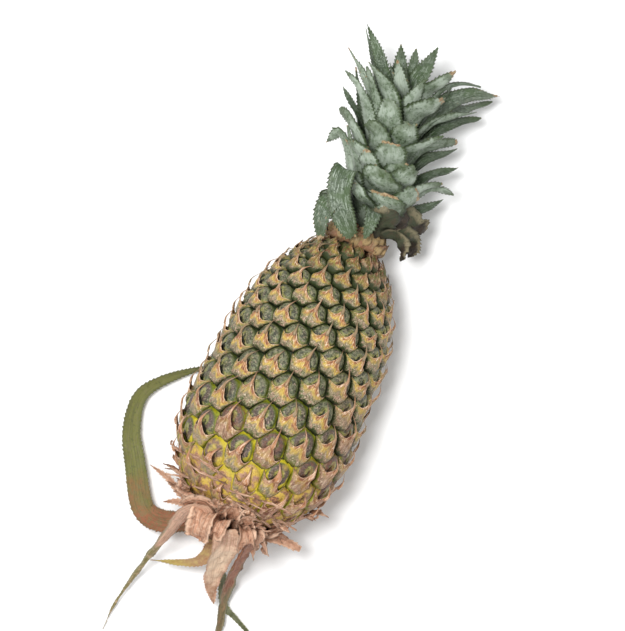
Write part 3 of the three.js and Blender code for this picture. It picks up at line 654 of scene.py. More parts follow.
def blade_axes(path, share, across, inner, roll):
    """The middle and the direction of a blade at shares of its length, and the directions
    across it and out of its hollow face."""
    middle, tangent = path.at(share)
    sign = np.sign(np.dot(np.cross(across, tangent[0]), inner))
    level = carried(across, tangent)
    normal = np.cross(level, tangent) * sign
    turn = (math.radians(roll) * share)[:, None]
    wide = level * np.cos(turn) + normal * np.sin(turn)
    high = normal * np.cos(turn) - level * np.sin(turn)
    return middle, tangent, wide, high


def blade(bm, via, width, across, inner, look, random, roll=0, cut=0):
    """Adds a closed blade with toothed edges along places in metres. across is its direction
    at the root and inner the way that its hollow face looks, roll its twist in degrees, cut
    the share of the tip broken off, and look is made by blade_look."""
    path = Path(via)
    teeth = max(3, round(path.length / look["pitch"]))
    rows = TOOTH_ROWS * teeth + 1
    share = np.linspace(0, 1, rows)
    along = (share * path.length)[:, None]
    middle, tangent, wide, high = blade_axes(path, share, across, inner, roll)
    half = width / 2 * blade_width(share * (1 - cut), look["shape"])
    if cut:
        half *= np.sqrt(1 - 0.8 * np.clip((share - TORN_FROM) / (1 - TORN_FROM), 0, 1) ** 2)

    a = np.linspace(-1, 1, BLADE_COLUMNS + 1)
    a = np.concatenate([a, a[-2::-1]])
    face = np.concatenate([np.ones(BLADE_COLUMNS + 1), -np.ones(BLADE_COLUMNS)])
    edge = np.abs(a) == 1
    phase = np.arange(rows) % TOOTH_ROWS
    point = np.choose(phase, TOOTH_POINTS) * smooth(share, 0.02, 0.15)
    strength = 0.6 + 0.8 * draws(random, rows)
    spike = np.minimum(look["tooth"] * point * strength, half / 2)
    least = LEAST_HALF * (1 - 0.7 * smooth(share, 0.9, 1))
    reach = np.maximum(half[:, None] + spike[:, None] * edge, least[:, None])
    waves = look["ripple"] * np.sin(2 * math.pi * (along / RIPPLE_LENGTH + next(random)))
    body = (1 - a ** 2) * look["thick"] / 2 * np.sqrt(np.maximum(1 - share ** 3, 0.02))[:, None] * face
    body[[0, -1]] = 0
    crumpled = wrinkles(along, a, look["crumple"], random) * smooth(along, 0, 6 * MM)
    rise = look["gutter"] * (half * (2 - share))[:, None] * a ** 2 + waves * a ** 3 + body + crumpled
    places = middle[:, None] + wide[:, None] * (a * reach)[..., None] + high[:, None] * rise[..., None]
    torn = np.interp(a, np.linspace(-1, 1, TEARS), draws(random, TEARS))
    back = look["ragged"] * torn * smooth(share, 0.8, 1)[:, None]
    hook = np.where(phase == TOOTH_ROWS - 1, look["pitch"] * TOOTH_HOOK, 0.0)[:, None] * edge
    places = places + tangent[:, None] * (hook - back)[..., None]
    dry = smooth(along, path.length - look["dry"] * (0.4 + 1.2 * next(random)), path.length)
    lay_grid(bm, places, [
        (look["blade"], (a, along / MM, face)), (look["leaf"], (next(random), dry, share[:, None]))])


def blade_look(bm, **measures):
    """The layers of a blade, for its across, along in mm and side, and of its leaf, for a
    random number, the dryness and the share of the length; and the blade's measures."""
    look = dict(zip(("blade", "leaf"), new_layers(bm, "blade", "leaf")))
    return {**look, **BLADE_MEASURES, **measures}


# ---- materials -------------------------------------------------------------------------

class Signal:
    """A node's output, with the sums, steps and coats that are made of it."""

    def __init__(self, tree, socket):
        self.tree = tree
        self.socket = socket

    def __add__(self, other):
        return self.tree.math("ADD", self, other)

    def __sub__(self, other):
        return self.tree.math("SUBTRACT", self, other)

    def __rsub__(self, other):
        return self.tree.math("SUBTRACT", other, self)

    def __mul__(self, other):
        return self.tree.math("MULTIPLY", self, other)

    def __abs__(self):
        return self.tree.math("ABSOLUTE", self)

    def ease(self, low, high, start=0.0, end=1.0):
        """Goes smoothly from start to end where this goes from low to high."""
        inputs = {"Value": self, "From Min": low, "From Max": high, "To Min": start, "To Max": end}
        return self.tree.out("ShaderNodeMapRange", inputs, interpolation_type="SMOOTHSTEP")

    def coats(self, *coats):
        """This colour under others. Each comes with a mask that is 1 where it covers."""
        skin = self
        for mask, colour in coats:
            skin = self.tree.mix(mask, skin, colour)
        return skin


class Tree:
    """Adds nodes to a material's or a group's tree and links them."""

    def __init__(self, tree):
        self.tree = tree

    def add(self, kind, inputs, **settings):
        node = self.tree.nodes.new(kind)
        for key, value in settings.items():
            setattr(node, key, value)
        for key, value in inputs.items():
            if isinstance(value, Signal):
                self.tree.links.new(value.socket, node.inputs[key])
            else:
                node.inputs[key].default_value = value
        return node

    def out(self, kind, inputs, output=0, **settings):
        """One output of a new node."""
        return Signal(self, self.add(kind, inputs, **settings).outputs[output])

    def named(self, node):
        return {socket.name: Signal(self, socket) for socket in node.outputs}

    def math(self, operation, a, b=0.0):
        return self.out("ShaderNodeMath", {0: a, 1: b}, operation=operation)

    def mix(self, mask, a, b):
        """One colour, with another over it where the mask is 1."""
        a, b = (value if isinstance(value, Signal) else (*value, 1) for value in (a, b))
        return self.out("ShaderNodeMix", {0: mask, 6: a, 7: b}, 2, data_type="RGBA")

    def noise(self, vector, scale, detail=3.0, roughness=0.5, distortion=0.0):
        inputs = {
            "Vector": vector, "Scale": scale, "Detail": detail, "Roughness": roughness,
            "Distortion": distortion,
        }
        return self.out("ShaderNodeTexNoise", inputs, "Fac")

    def attribute(self, name):
        """The three numbers of a mesh's attribute."""
        vector = self.out("ShaderNodeAttribute", {}, "Vector", attribute_name=name)
        return self.named(self.add("ShaderNodeSeparateXYZ", {0: vector})).values()

    def combine(self, x, y, z):
        return self.out("ShaderNodeCombineXYZ", {0: x, 1: y, 2: z})

    def object_place(self):
        return self.out("ShaderNodeTexCoord", {}, "Object")

    def group(self, tree, inputs):
        return self.named(self.add("ShaderNodeGroup", inputs, node_tree=tree))


def node_group(name, inputs, build):
    """A shader node group, made once. inputs gives the kind of each of its named sockets and
    build makes its named outputs, which are numbers, from a tree and the inputs."""
    if name in bpy.data.node_groups:
        return bpy.data.node_groups[name]
    tree = bpy.data.node_groups.new(name, "ShaderNodeTree")
    for label, kind in inputs.items():
        tree.interface.new_socket(name=label, in_out="INPUT", socket_type=kind)
    t = Tree(tree)
    outputs = build(t, t.named(t.add("NodeGroupInput", {})))
    for label in outputs:
        tree.interface.new_socket(name=label, in_out="OUTPUT", socket_type="NodeSocketFloat")
    t.add("NodeGroupOutput", outputs)
    return tree


def speckle_group():
    """Small irregular spots: a mask that is 1 on a spot."""
    def build(t, given):
        fine = t.noise(given["Vector"], given["Scale"], 4.0, 0.65)
        wide = t.noise(given["Vector"], given["Scale"] * 0.23, 2.0)
        edge = 0.75 - given["Cover"] * 0.5
        return {"Mask": (fine * 0.7 + wide * 0.3).ease(edge, edge + 0.06)}

    inputs = {"Vector": "NodeSocketVector", "Scale": "NodeSocketFloat", "Cover": "NodeSocketFloat"}
    return node_group("Speckle", inputs, build)


def fibre_group():
    """Fibres that run along one direction: a mask from 0 to 1 and a finer height."""
    def build(t, given):
        across = given["Across"] * given["Count"]
        seed = given["Seed"] * 37.0
        coarse = t.noise(t.combine(across, given["Along"], seed), 1.0, 2.0, 0.6, 0.3)
        fine = t.noise(t.combine(across * 3.1, given["Along"], seed), 1.0, 2.0, 0.6)
        return {"Mask": coarse.ease(0.42, 0.66), "Height": coarse * 0.6 + fine * 0.4}

    inputs = dict.fromkeys(("Across", "Along", "Seed", "Count"), "NodeSocketFloat")
    return node_group("Fibres", inputs, build)


def new_material(name):
    """An empty material. Returns it, its tree and a call that adds its shader."""
    material = bpy.data.materials.new(name)
    material.use_nodes = True
    material.node_tree.nodes.clear()
    t = Tree(material.node_tree)

    def shade(colour, roughness, height, depth):
        bump = t.out("ShaderNodeBump", {"Height": height, "Distance": depth, "Strength": 1.0})
        inputs = {"Base Color": colour, "Roughness": roughness, "Normal": bump}
        t.add("ShaderNodeOutputMaterial", {0: t.out("ShaderNodeBsdfPrincipled", inputs)})

    return material, t, shade


def rind_material(s):
    """The skin of the eyes: a mottled ball with a yellow-green crescent by the bract, a ring
    and a heart on the lowest eyes, green grooves, and painted shade in the crevice just past
    a bract's free edge."""
    material, t, shade = new_material("pineapple rind")
    place = t.object_place()
    x, y, ring = t.attribute("cell")
    _, arc, dryness = t.attribute("eye")
    over, _, _ = t.attribute("edge")
    mottle = t.noise(place, 470.0, 3.0, 0.6, 0.8)
    wide = t.noise(place, 230.0, 2.0, 0.5)
    fine = t.noise(place, 1100.0, 3.0, 0.65, 0.5)
    shifted = arc + (wide - 0.5) * 0.08
    near_base = shifted.ease(0.5, 0.33)
    lowest = shifted.ease(0.33, 0.26)
    up_y = (y - 0.3) * 1.2
    radius = t.math("SQRT", x * x + up_y * up_y) + (mottle - 0.5) * 0.4
    band = radius.ease(0.3, 0.42) * radius.ease(0.72, 0.58)
    crescent = over.ease(0.3, 0.9) * over.ease(3.2, 1.8) * wide.ease(0.38, 0.55)

    ball = t.mix(mottle.ease(0.4, 0.56), s.dome_dark, s.dome_grey).coats(
        (mottle.ease(0.56, 0.66, 0.0, 0.8), s.dome_pale),
        (crescent * 0.75, s.dome_heart),
        (radius.ease(0.36, 0.24) * near_base.ease(0.0, 1.0, 0.25, 0.9), s.dome_heart),
        (band * near_base.ease(0.0, 1.0, 0.15, 0.85), s.dome_ring),
        (fine.ease(0.56, 0.66, 0.0, 0.7), s.dome_bloom),
        (fine.ease(0.45, 0.36, 0.0, 0.75), s.specks_and_crevice_shade),
        (lowest * (radius - band).ease(0.5, 0.7) * 0.9, s.rim_bright),
    )
    groove = t.mix(near_base, s.groove_dark, s.groove_bright).coats(
        (lowest, s.rim_bright),
        (mottle.ease(0.52, 0.68, 0.0, 0.7) * lowest.ease(0.5, 0.0), s.groove_dark),
    )
    dried = t.mix(fine.ease(0.45, 0.55), s.bract_dark, s.bract_tan)
    flesh = t.mix(wide.ease(0.42, 0.58), s.bract_yellow, s.bract_pink).coats(
        (dryness * wide.ease(0.44, 0.56, 0.1, 0.85), dried),
        (abs(mottle - 0.5).ease(0.035, 0.0) * 0.8, s.bract_brown),
    )
    skin = ball.coats(
        (ring.ease(0.74, 0.86) * near_base.ease(0.0, 1.0, 0.55, 0.85), s.rim_green),
        (ring.ease(0.84, 0.93), groove),
        # Painted shade: dark in the crevice just past a bract's free edge, except near the base.
        (over.ease(0.55, 0.1) * shifted.ease(0.22, 0.28, 0.0, 0.85), s.specks_and_crevice_shade),
        (dryness * mottle.ease(0.42, 0.58, 0.1, 0.9), s.bract_brown),
        (shifted.ease(0.27, 0.22) * ring.ease(0.97, 0.82, 0.15, 1.0), flesh),
    )
    shade(skin, mottle.ease(0.3, 0.7, 0.38, 0.6), fine * 0.4 + mottle * 0.6, 1.0 * MM)
    return material


def bract_material(s):
    """A bract from its foot up: mossy green, grey with pinkish specks, yellow, then orange
    with brown and pale fibres that run into the spine. Near the crown the dark foot reaches
    higher, as painted shade between the crowded topmost bracts."""
    material, t, shade = new_material("pineapple bract")
    place = t.object_place()
    across, up, fan = t.attribute("bract")
    tone, arc, dryness = t.attribute("eye")
    seed = tone * 40.0
    wide = t.noise(place, 240.0, 3.0, 0.6)
    mottle = t.noise(place, 620.0, 2.0, 0.6, 0.6)
    fine = t.noise(place, 1250.0, 3.0, 0.65, 0.5)
    streak = t.noise(t.combine(fan * 6.5, up * 2.2, seed), 1.0, 3.0, 0.65, 0.3)
    strand = t.noise(t.combine(fan * 13.0, up * 4.0, seed), 1.0, 3.0, 0.7, 0.4)
    warped = up + (wide - 0.5) * 0.7 + (tone - 0.5) * 0.2
    side = abs(across)
    lower = warped.ease(0.62, 0.42) * arc.ease(0.22, 0.42, 0.45, 1.0)
    patch = warped.ease(0.36, 0.58) * streak.ease(0.38, 0.52, 0.25, 1.0) * tone.ease(0.0, 0.6, 0.6, 1.0)
    top = warped.ease(0.56, 0.8) * side.ease(0.75, 0.3)
    peeled = t.math("MAXIMUM", dryness, arc.ease(0.5, 0.2) * warped.ease(0.45, 0.7, 0.0, 0.8))
    topmost = arc.ease(0.74, 0.88) * wide.ease(0.36, 0.56, 0.3, 0.95)
    # The last term lowers it near the crown, so the dark groove colour climbs the foot: painted shade.
    rise = up + (mottle - 0.5) * 0.35 - arc.ease(0.68, 0.86, 0.0, 0.14)

    ground = t.mix(arc.ease(0.38, 0.26), s.bract_green, s.bract_yellow)
    groove = t.mix(arc.ease(0.44, 0.28), s.groove_dark, s.groove_bright)
    paper = t.mix(streak.ease(0.42, 0.56), s.bract_pink, s.bract_brown).coats(
        (strand.ease(0.46, 0.38) * 0.9, s.bract_margin),
        (abs(mottle - 0.5).ease(0.02, 0.0) * 0.8, s.bract_dark),
    )
    skin = t.mix(warped.ease(0.02, 0.24), ground, s.bract_grey).coats(
        (mottle.ease(0.5, 0.6, 0.0, 0.85), s.bract_rose),
        (streak.ease(0.44, 0.36, 0.0, 0.75), ground),
        (lower * fine.ease(0.58, 0.66, 0.0, 0.9), s.bract_pale),
        (lower * fine.ease(0.43, 0.35, 0.0, 0.9), s.bract_dark),
        (patch * 0.92, s.bract_yellow),
        (side.ease(0.4, 0.85) * mottle.ease(0.62, 0.45) * 0.9, s.bract_corner),
        (top * 0.9, s.bract_tan),
        (strand.ease(0.5, 0.58) * t.math("MAXIMUM", top, patch * 0.4), s.bract_brown),
        (strand.ease(0.44, 0.37) * warped.ease(0.5, 0.75, 0.25, 1.0) * 0.85, s.bract_pale),
        (up.ease(0.9, 0.98) * mottle.ease(0.35, 0.55), s.bract_margin),
        (peeled * wide.ease(0.3, 0.5, 0.5, 1.0), paper),
        (topmost * streak.ease(0.38, 0.54), s.bract_green),
        (topmost * strand.ease(0.5, 0.58), s.bract_brown),
        # The foot takes the groove's own colour; near the crown it is also painted shade.
        (rise.ease(0.2, 0.02, 0.0, 0.95), groove),
    )
    shade(skin, mottle.ease(0.3, 0.7, 0.5, 0.75), fine * 0.45 + strand * 0.55, 0.9 * MM)
    return material


def spine_material(s):
    """Papery fibres that run along the spine to its brown tip."""
    material, t, shade = new_material("bract spine")
    turn, along, _ = t.attribute("bract")
    tone, arc, _ = t.attribute("eye")
    strand = t.noise(t.combine(turn * 9.0, along * 3.0, tone * 40.0), 1.0, 3.0, 0.7, 0.3)
    skin = t.mix(strand.ease(0.4, 0.6), s.bract_tan, s.bract_pink).coats(
        (strand.ease(0.52, 0.6), s.bract_margin),
        (strand.ease(0.42, 0.34), s.bract_brown),
        (arc.ease(0.3, 0.45) * tone.ease(0.2, 0.8, 0.2, 0.7), s.bract_grey),
        (along.ease(0.55, 1.0), s.spine_tip),
    )
    shade(skin, 0.65, strand, 0.5 * MM)
    return material


def leaf_lines(t, across, along, tone, count, stretch):
    """Fibres that run along a blade."""
    return t.group(fibre_group(), {
        "Across": across, "Along": along * stretch, "Seed": tone, "Count": count})


def crown_leaf_material(s):
    """Grey bloom over green outside, dark green with pale scratches toward the stem; flecked,
    with olive edges, a dry tip and painted shade at its foot. The side is 1 on the face
    toward the stem."""
    material, t, shade = new_material("crown leaf")
    place = t.object_place()
    across, along, side = t.attribute("blade")
    tone, dryness, share = t.attribute("leaf")
    fine = t.noise(place, 1000.0, 3.0, 0.65)
    mottle = t.noise(place, 380.0, 3.0, 0.6, 0.6)
    wide = t.noise(place, 95.0, 3.0, 0.6)
    lines = leaf_lines(t, across, along, tone, 9.0, 0.06)
    scratches = leaf_lines(t, across, along, tone + 5.0, 22.0, 0.16)

    edged = abs(across) + (mottle - 0.5) * 0.35
    tip = share + (wide - 0.5) * 0.6
    withered = dryness + (mottle - 0.5) * 2.0 + (tone - 0.75) * 1.3

    outer = t.mix(wide.ease(0.4, 0.6), s.leaf_pale, s.leaf_bloom).coats(
        (mottle.ease(0.5, 0.66, 0.0, 0.6), s.leaf_grey),
        (lines["Mask"] * 0.35, s.leaf_grey),
        (wide.ease(0.56, 0.66) * fine.ease(0.42, 0.52) * 0.7, s.leaf_green),
    )
    inner = t.mix(wide.ease(0.4, 0.6), s.leaf_green, s.leaf_deep).coats(
        (scratches["Mask"] * mottle.ease(0.42, 0.58, 0.15, 0.9), s.leaf_pale),
        (wide.ease(0.5, 0.62) * fine.ease(0.44, 0.56) * 0.5, s.leaf_bloom),
    )
    skin = t.mix(side.ease(-0.2, 0.2), outer, inner).coats(
        (fine.ease(0.58, 0.64) * wide.ease(0.4, 0.52) * 0.85, s.leaf_dark),
        (edged.ease(0.76, 0.95, 0.0, 0.85), s.leaf_edge),
        (abs(across).ease(0.88, 1.0, 0.0, 0.7), s.leaf_dark),
        # Painted shade at the foot of the leaf, where the leaves crowd round the stem.
        (along.ease(28.0, 10.0, 0.0, 0.85), s.leaf_dark),
        (tip.ease(0.75, 1.05, 0.0, 0.7), s.leaf_edge),
        (withered.ease(0.5, 0.75), t.mix(fine.ease(0.42, 0.58), s.leaf_dry, s.leaf_rust)),
    )
    height = mottle * 0.5 + scratches["Height"] * 0.5
    shade(skin, fine.ease(0.3, 0.7, 0.4, 0.6), height, 0.5 * MM)
    return material


def dry_leaf_material(name, s, colours, turns=(0.22, 0.65)):
    """A drying leaf with fibres, blotches and spots. colours names the settings of its root,
    middle, tip, margin, darker and paler parts. Its colour changes from the root's to the
    middle's and to the tip's at the two shares of its length in turns."""
    root, middle, tip, margin, dark, pale = (getattr(s, key) for key in colours.split())
    material, t, shade = new_material(name)
    place = t.object_place()
    across, along, _ = t.attribute("blade")
    tone, _, share = t.attribute("leaf")
    wide = t.noise(place, 85.0, 3.0, 0.6)
    mottle = t.noise(place, 360.0, 3.0, 0.65, 0.6)
    fine = t.noise(place, 1100.0, 3.0, 0.65)
    lines = leaf_lines(t, across, along, tone, 8.0, 0.05)
    strands = leaf_lines(t, across, along, tone + 3.0, 19.0, 0.09)

    spots = t.group(speckle_group(), {"Vector": place, "Scale": 500.0, "Cover": 0.26})["Mask"]
    edged = abs(across) + (mottle - 0.5) * 0.4
    at = share + (wide - 0.5) * 0.45
    skin = t.mix(at.ease(turns[0] - 0.1, turns[0] + 0.1), root, middle).coats(
        (at.ease(turns[1] - 0.08, turns[1] + 0.08), tip),
        (mottle.ease(0.5, 0.62, 0.0, 0.55), pale),
        (lines["Mask"] * 0.5, dark),
        (strands["Mask"] * 0.4, pale),
        (edged.ease(0.68, 0.92) * at.ease(*turns, 0.1, 0.85), margin),
        (mottle.ease(0.4, 0.33, 0.0, 0.6), dark),
        (spots * 0.8, dark),
        (abs(across).ease(0.9, 1.0, 0.0, 0.6), dark),
    )
    height = mottle * 0.4 + strands["Height"] * 0.6
    shade(skin, fine.ease(0.3, 0.7, 0.55, 0.8), height, 0.7 * MM)
    return material


# ---- settings --------------------------------------------------------------------------

class PineappleFruit(bpy.types.PropertyGroup):
    groove_depth: length("Groove depth", 3.5, "Depth of the grooves between eyes")
    dome_sink: length("Eye depth", 0.5, "How far the middle of an eye lies under the outline")
    socket_depth: length("Socket depth", 1.8, "How far the rind sinks under a bract's edge")
    bract_lift: length("Bract lift", 0.1, "How far a bract stands over the rind")
    bract_rise: length("Bract rise", 2.9, "How much higher its keel stands")
    spine_length: length("Spine length", 7.5, "Length of a bract's spine")
    spine_foot: length("Spine foot", 1.1, "Half the width of a spine where it leaves the bract")
    # Near the crown it also paints the shade at the foot of the topmost bracts.
    groove_dark: colour("Groove", "25330a", "Grooves away from the base")
    groove_bright: colour("Groove at the base", "8b9010", "Grooves near the base")
    rim_green: colour("Eye rim", "565f26", "The rim of an eye")
    rim_bright: colour("Lowest rims", "c8b71c", "The rims of the lowest eyes")
    dome_grey: colour("Eye", "6f7556", "The skin of an eye")
    dome_dark: colour("Eye, darker", "2f3520", "Darker patches of an eye")
    dome_pale: colour("Eye, paler", "8c8c6e", "Paler patches of an eye")
    dome_heart: colour("Eye middle", "9c9a4c", "The middle of an eye and its crescent")
    dome_ring: colour("Eye ring", "5b4642", "The ring round an eye's middle")
    dome_bloom: colour("Eye bloom", "b9a08c", "Pale pinkish specks on an eye")
    # Dark specks, and also the painted shade in the crevice past a bract's free edge.
    specks_and_crevice_shade: colour("Specks", "1b200b", "Dark specks")
    bract_green: colour("Bract foot", "48561f", "The lowest part of a bract")
    bract_grey: colour("Bract, lower", "7d7455", "The lower part of a bract")
    bract_yellow: colour("Bract middle", "cfb04c", "The middle of a bract")
    bract_corner: colour("Bract corners", "74763a", "The corners of a bract")
    bract_rose: colour("Bract blotches", "a68571", "Pinkish blotches on a bract")
    bract_tan: colour("Bract top", "b37c50", "The upper part of a bract")
    bract_pink: colour("Dry bract", "b58c74", "A papery bract")
    bract_pale: colour("Bract flecks", "e8d4b8", "Pale flecks and fibres on a bract")
    bract_dark: colour("Bract dark flecks", "4a3426", "Dark flecks on a bract")
    bract_brown: colour("Bract fibres", "784630", "The brown fibres that run into the spine")
    bract_margin: colour("Bract margin", "dfbfa2", "The papery free edge of a bract")
    spine_tip: colour("Spine tip", "6b4636", "The tip of a spine")


class PineappleCrown(bpy.types.PropertyGroup):
    tooth_pitch: length("Tooth pitch", 2.1, "Distance between the teeth of a leaf's edge")
    tooth_length: length("Tooth length", 1.15, "How far a tooth stands out")
    leaf_bloom: colour("Leaf bloom", "85927f", "The grey bloom outside a leaf")
    leaf_grey: colour("Leaf outside", "607256", "Where the bloom is thinner")
    leaf_pale: colour("Leaf, paler", "a4b0a0", "Pale rubbed patches")
    leaf_green: colour("Leaf green", "435734", "The green under the bloom and inside a leaf")
    leaf_deep: colour("Leaf, deep green", "314327", "The darker green inside a leaf")
    # Pits, scratches and edges, and also the painted shade at the foot of each crown leaf.
    leaf_dark: colour("Leaf pits", "1d2517", "Pits, scratches and the foot of a leaf")
    leaf_edge: colour("Leaf edge", "3f4f2a", "The edge and the tip of a leaf")
    leaf_dry: colour("Dry tip", "a8936f", "The dry tip of a leaf")
    leaf_rust: colour("Dry tip, darker", "7d6042", "The darker streaks of a dry tip")
    dead_brown: colour("Dead scale", "2b2118", "The dead scales under the crown")
    dead_olive: colour("Dead scale, olive", "39412a", "Where the dead scales are still olive")
    dead_tan: colour("Dead scale, paler", "483a29", "Paler patches of the dead scales")
    dead_pale: colour("Dead scale edge", "8a8064", "The edges of the dead scales")
    foot_yellow: colour("Foot scale", "a88c5c", "The small scales at the crown's foot")
    foot_brown: colour("Foot scale, brown", "8a5f43", "The dry tips of the foot scales")
    foot_dark: colour("Foot scale, darker", "3f2b1d", "Streaks and spots of the foot scales")


class PineappleDry(bpy.types.PropertyGroup):
    bark: colour("Stalk", "7a5a44", "The bark of the stalk")
    paper: colour("Dry scale", "b98669", "The papery scales round the stalk")
    paper_pale: colour("Dry scale, paler", "e4c0a4", "The paler side of the dry scales")
    paper_brown: colour("Dry scale, darker", "7a543f", "The darker side of the dry scales")
    paper_dark: colour("Dry scale cracks", "432f21", "Cracks and folds of the dry scales")
    rust: colour("Reddish brown", "9a5b40", "Where the olive leaf has turned brown")
    olive: colour("Olive", "717336", "The leaves that are still olive")
    olive_dark: colour("Olive, darker", "4d5230", "Their darker parts")
    olive_grey: colour("Olive grey", "84866a", "The greyer side of the olive leaves")
    olive_brown: colour("Olive brown", "77714a", "Where a brown leaf is still olive")
    yellow: colour("Yellow leaf", "bfa856", "The leaf that has turned yellow")
    yellow_pale: colour("Yellow leaf, paler", "d2bf78", "Its paler side")
    pink: colour("Pink leaf", "d6a98f", "The pinkish dry leaf")
    pink_pale: colour("Pink leaf, paler", "e6c0a2", "Its paler streaks")
    tan: colour("Tan", "ae8664", "Tan parts of the dry leaves")
    cream: colour("Pale leaf", "f6dabc", "The pale dry leaf")


class PineappleStage(bpy.types.PropertyGroup):
    floor_tone: colour("Floor", "fafafa", "The plain pale floor")
    sky_strength: FloatProperty(
        name="Sky", description="Strength of the even light from all round", default=0.6, min=0)
    key_power: FloatProperty(
        name="Key light", description="Power of the large lamp", default=16.5, min=0, unit="POWER")


# ---- operators -------------------------------------------------------------------------

class PINEAPPLE_OT_rind(bpy.types.Operator):
    """Adds the rind: one closed surface of eyes with grooves between them"""
    bl_idname = "pineapple.rind"
    bl_label = "Rind"

    def execute(self, context):
        s = context.scene.pineapple_fruit
        bm = bmesh.new()
        layers = new_layers(bm, "cell", "eye", "edge")
        for cell in fruit_cells():
            self.add_eye(bm, cell, s, layers)
        bmesh.ops.remove_doubles(bm, verts=bm.verts, dist=SEAM_MERGE)
        self.close_ends(bm, layers)
        hand_in(finish_mesh(bm, "fruit_rind", rind_material(s)), "fruit")
        return {"FINISHED"}

    def add_eye(self, bm, cell, s, layers):
        """Rings from the middle of a cell to its six sides, over a ball with a groove round
        it that sinks under the bract."""
        corners = np.vstack([cell.corners, cell.corners[:1]])
        border = read_line(np.linspace(0, 6, 6 * RING_SIDES + 1), np.arange(7), corners)
        half = np.array([cell.half_width, cell.half_height])
        rounded = border / np.linalg.norm(border / half, axis=1, keepdims=True) * ROUND_SHARE
        ring = np.array(RINGS)[:, None]
        outer = smooth(ring, ROUND_TO, 1)[..., None]
        offsets = ring[..., None] * (rounded * (1 - outer) + border * outer)
        x, y = offsets[..., 0] / cell.half_width, offsets[..., 1] / cell.half_height
        radius = np.hypot(x / BALL_RADII[0], (y - BALL_MIDDLE) / BALL_RADII[1])
        ball = np.clip(1 - radius ** 2.4, 0, 1) ** 0.6 * smooth(1 - ring, 0, 0.1)
        depth = s.groove_depth * groove_share(cell.arc + offsets[..., 1])
        over = cell.over_edge(offsets)
        covered = smooth(-over, -SOCKET_BLEND, SOCKET_BLEND) * smooth(1 - ring, 0, 0.15)
        lift = -depth + (depth - s.dome_sink) * ball - s.socket_depth * covered
        lay_grid(bm, cell.place(offsets, lift), zip(layers, [
            (x, y, ring), eye_values(cell), (over / MM, 0, 0)]))

    def close_ends(self, bm, layers):
        """Carries the two open rims to the poles along the fruit's outline. The lower rim
        comes a little out of its groove first."""
        outline = fruit_path.places
        half = len(outline) // 2
        for vert in [vert for vert in bm.verts if vert.is_boundary]:
            along, angle, _ = off_axis(vert.co)
            if along < 0:
                shift = RIM_SHIFT * float(relief_at(angle))
                vert.co = np.array(vert.co) + (around(angle) - AXIS_DIR) * shift
                for layer, numbers in zip(layers, ((0, 0, 0.7), (0.5, 0, 0.7), (1, 0, 0))):
                    vert[layer] = numbers
        for step in range(CAP_STEPS):
            rim = [edge for edge in bm.edges if edge.is_boundary]
            made = bmesh.ops.extrude_edge_only(bm, edges=rim)["geom"]
            for vert in made:
                if isinstance(vert, bmesh.types.BMVert):
                    along, angle, radius = off_axis(vert.co)
                    radius *= 1 - 1 / (CAP_STEPS - step)
                    end = outline[:half] if along < 0 else outline[:half:-1]
                    place = on_axis(np.interp(radius, end[:, 1], end[:, 0])) + around(angle) * radius
                    place[2] = max(place[2], 0)
                    vert.co = place
                    vert[layers[0]] = (0, 0, 0.7)
        bmesh.ops.remove_doubles(bm, verts=bm.verts, dist=SEAM_MERGE)


def eye_values(cell):
    """What the materials read of an eye: a random number, its share of the outline's length
    from the base and its dryness."""
    return cell.tone, cell.share, dryness_of(cell)


def dryness_of(cell):
    """How papery an eye is: those round the stalk and on the right under the crown."""
    side = math.sin(cell.angle)
    shoulder = smooth(cell.share, 0.78, 0.92) * smooth(side, 0.1, 0.8)
    foot = smooth(0.2 - cell.share, 0, 0.08)
    flank = 0.8 * smooth(0.46 - cell.share, 0, 0.15) * smooth(side, 0.35, 0.8)
    stray = 0.7 * smooth(cell.vigour, 0.8, 0.95) * smooth(0.6 - cell.share, 0, 0.2)
    return float(np.clip(shoulder + foot + flank + stray, 0, 1))


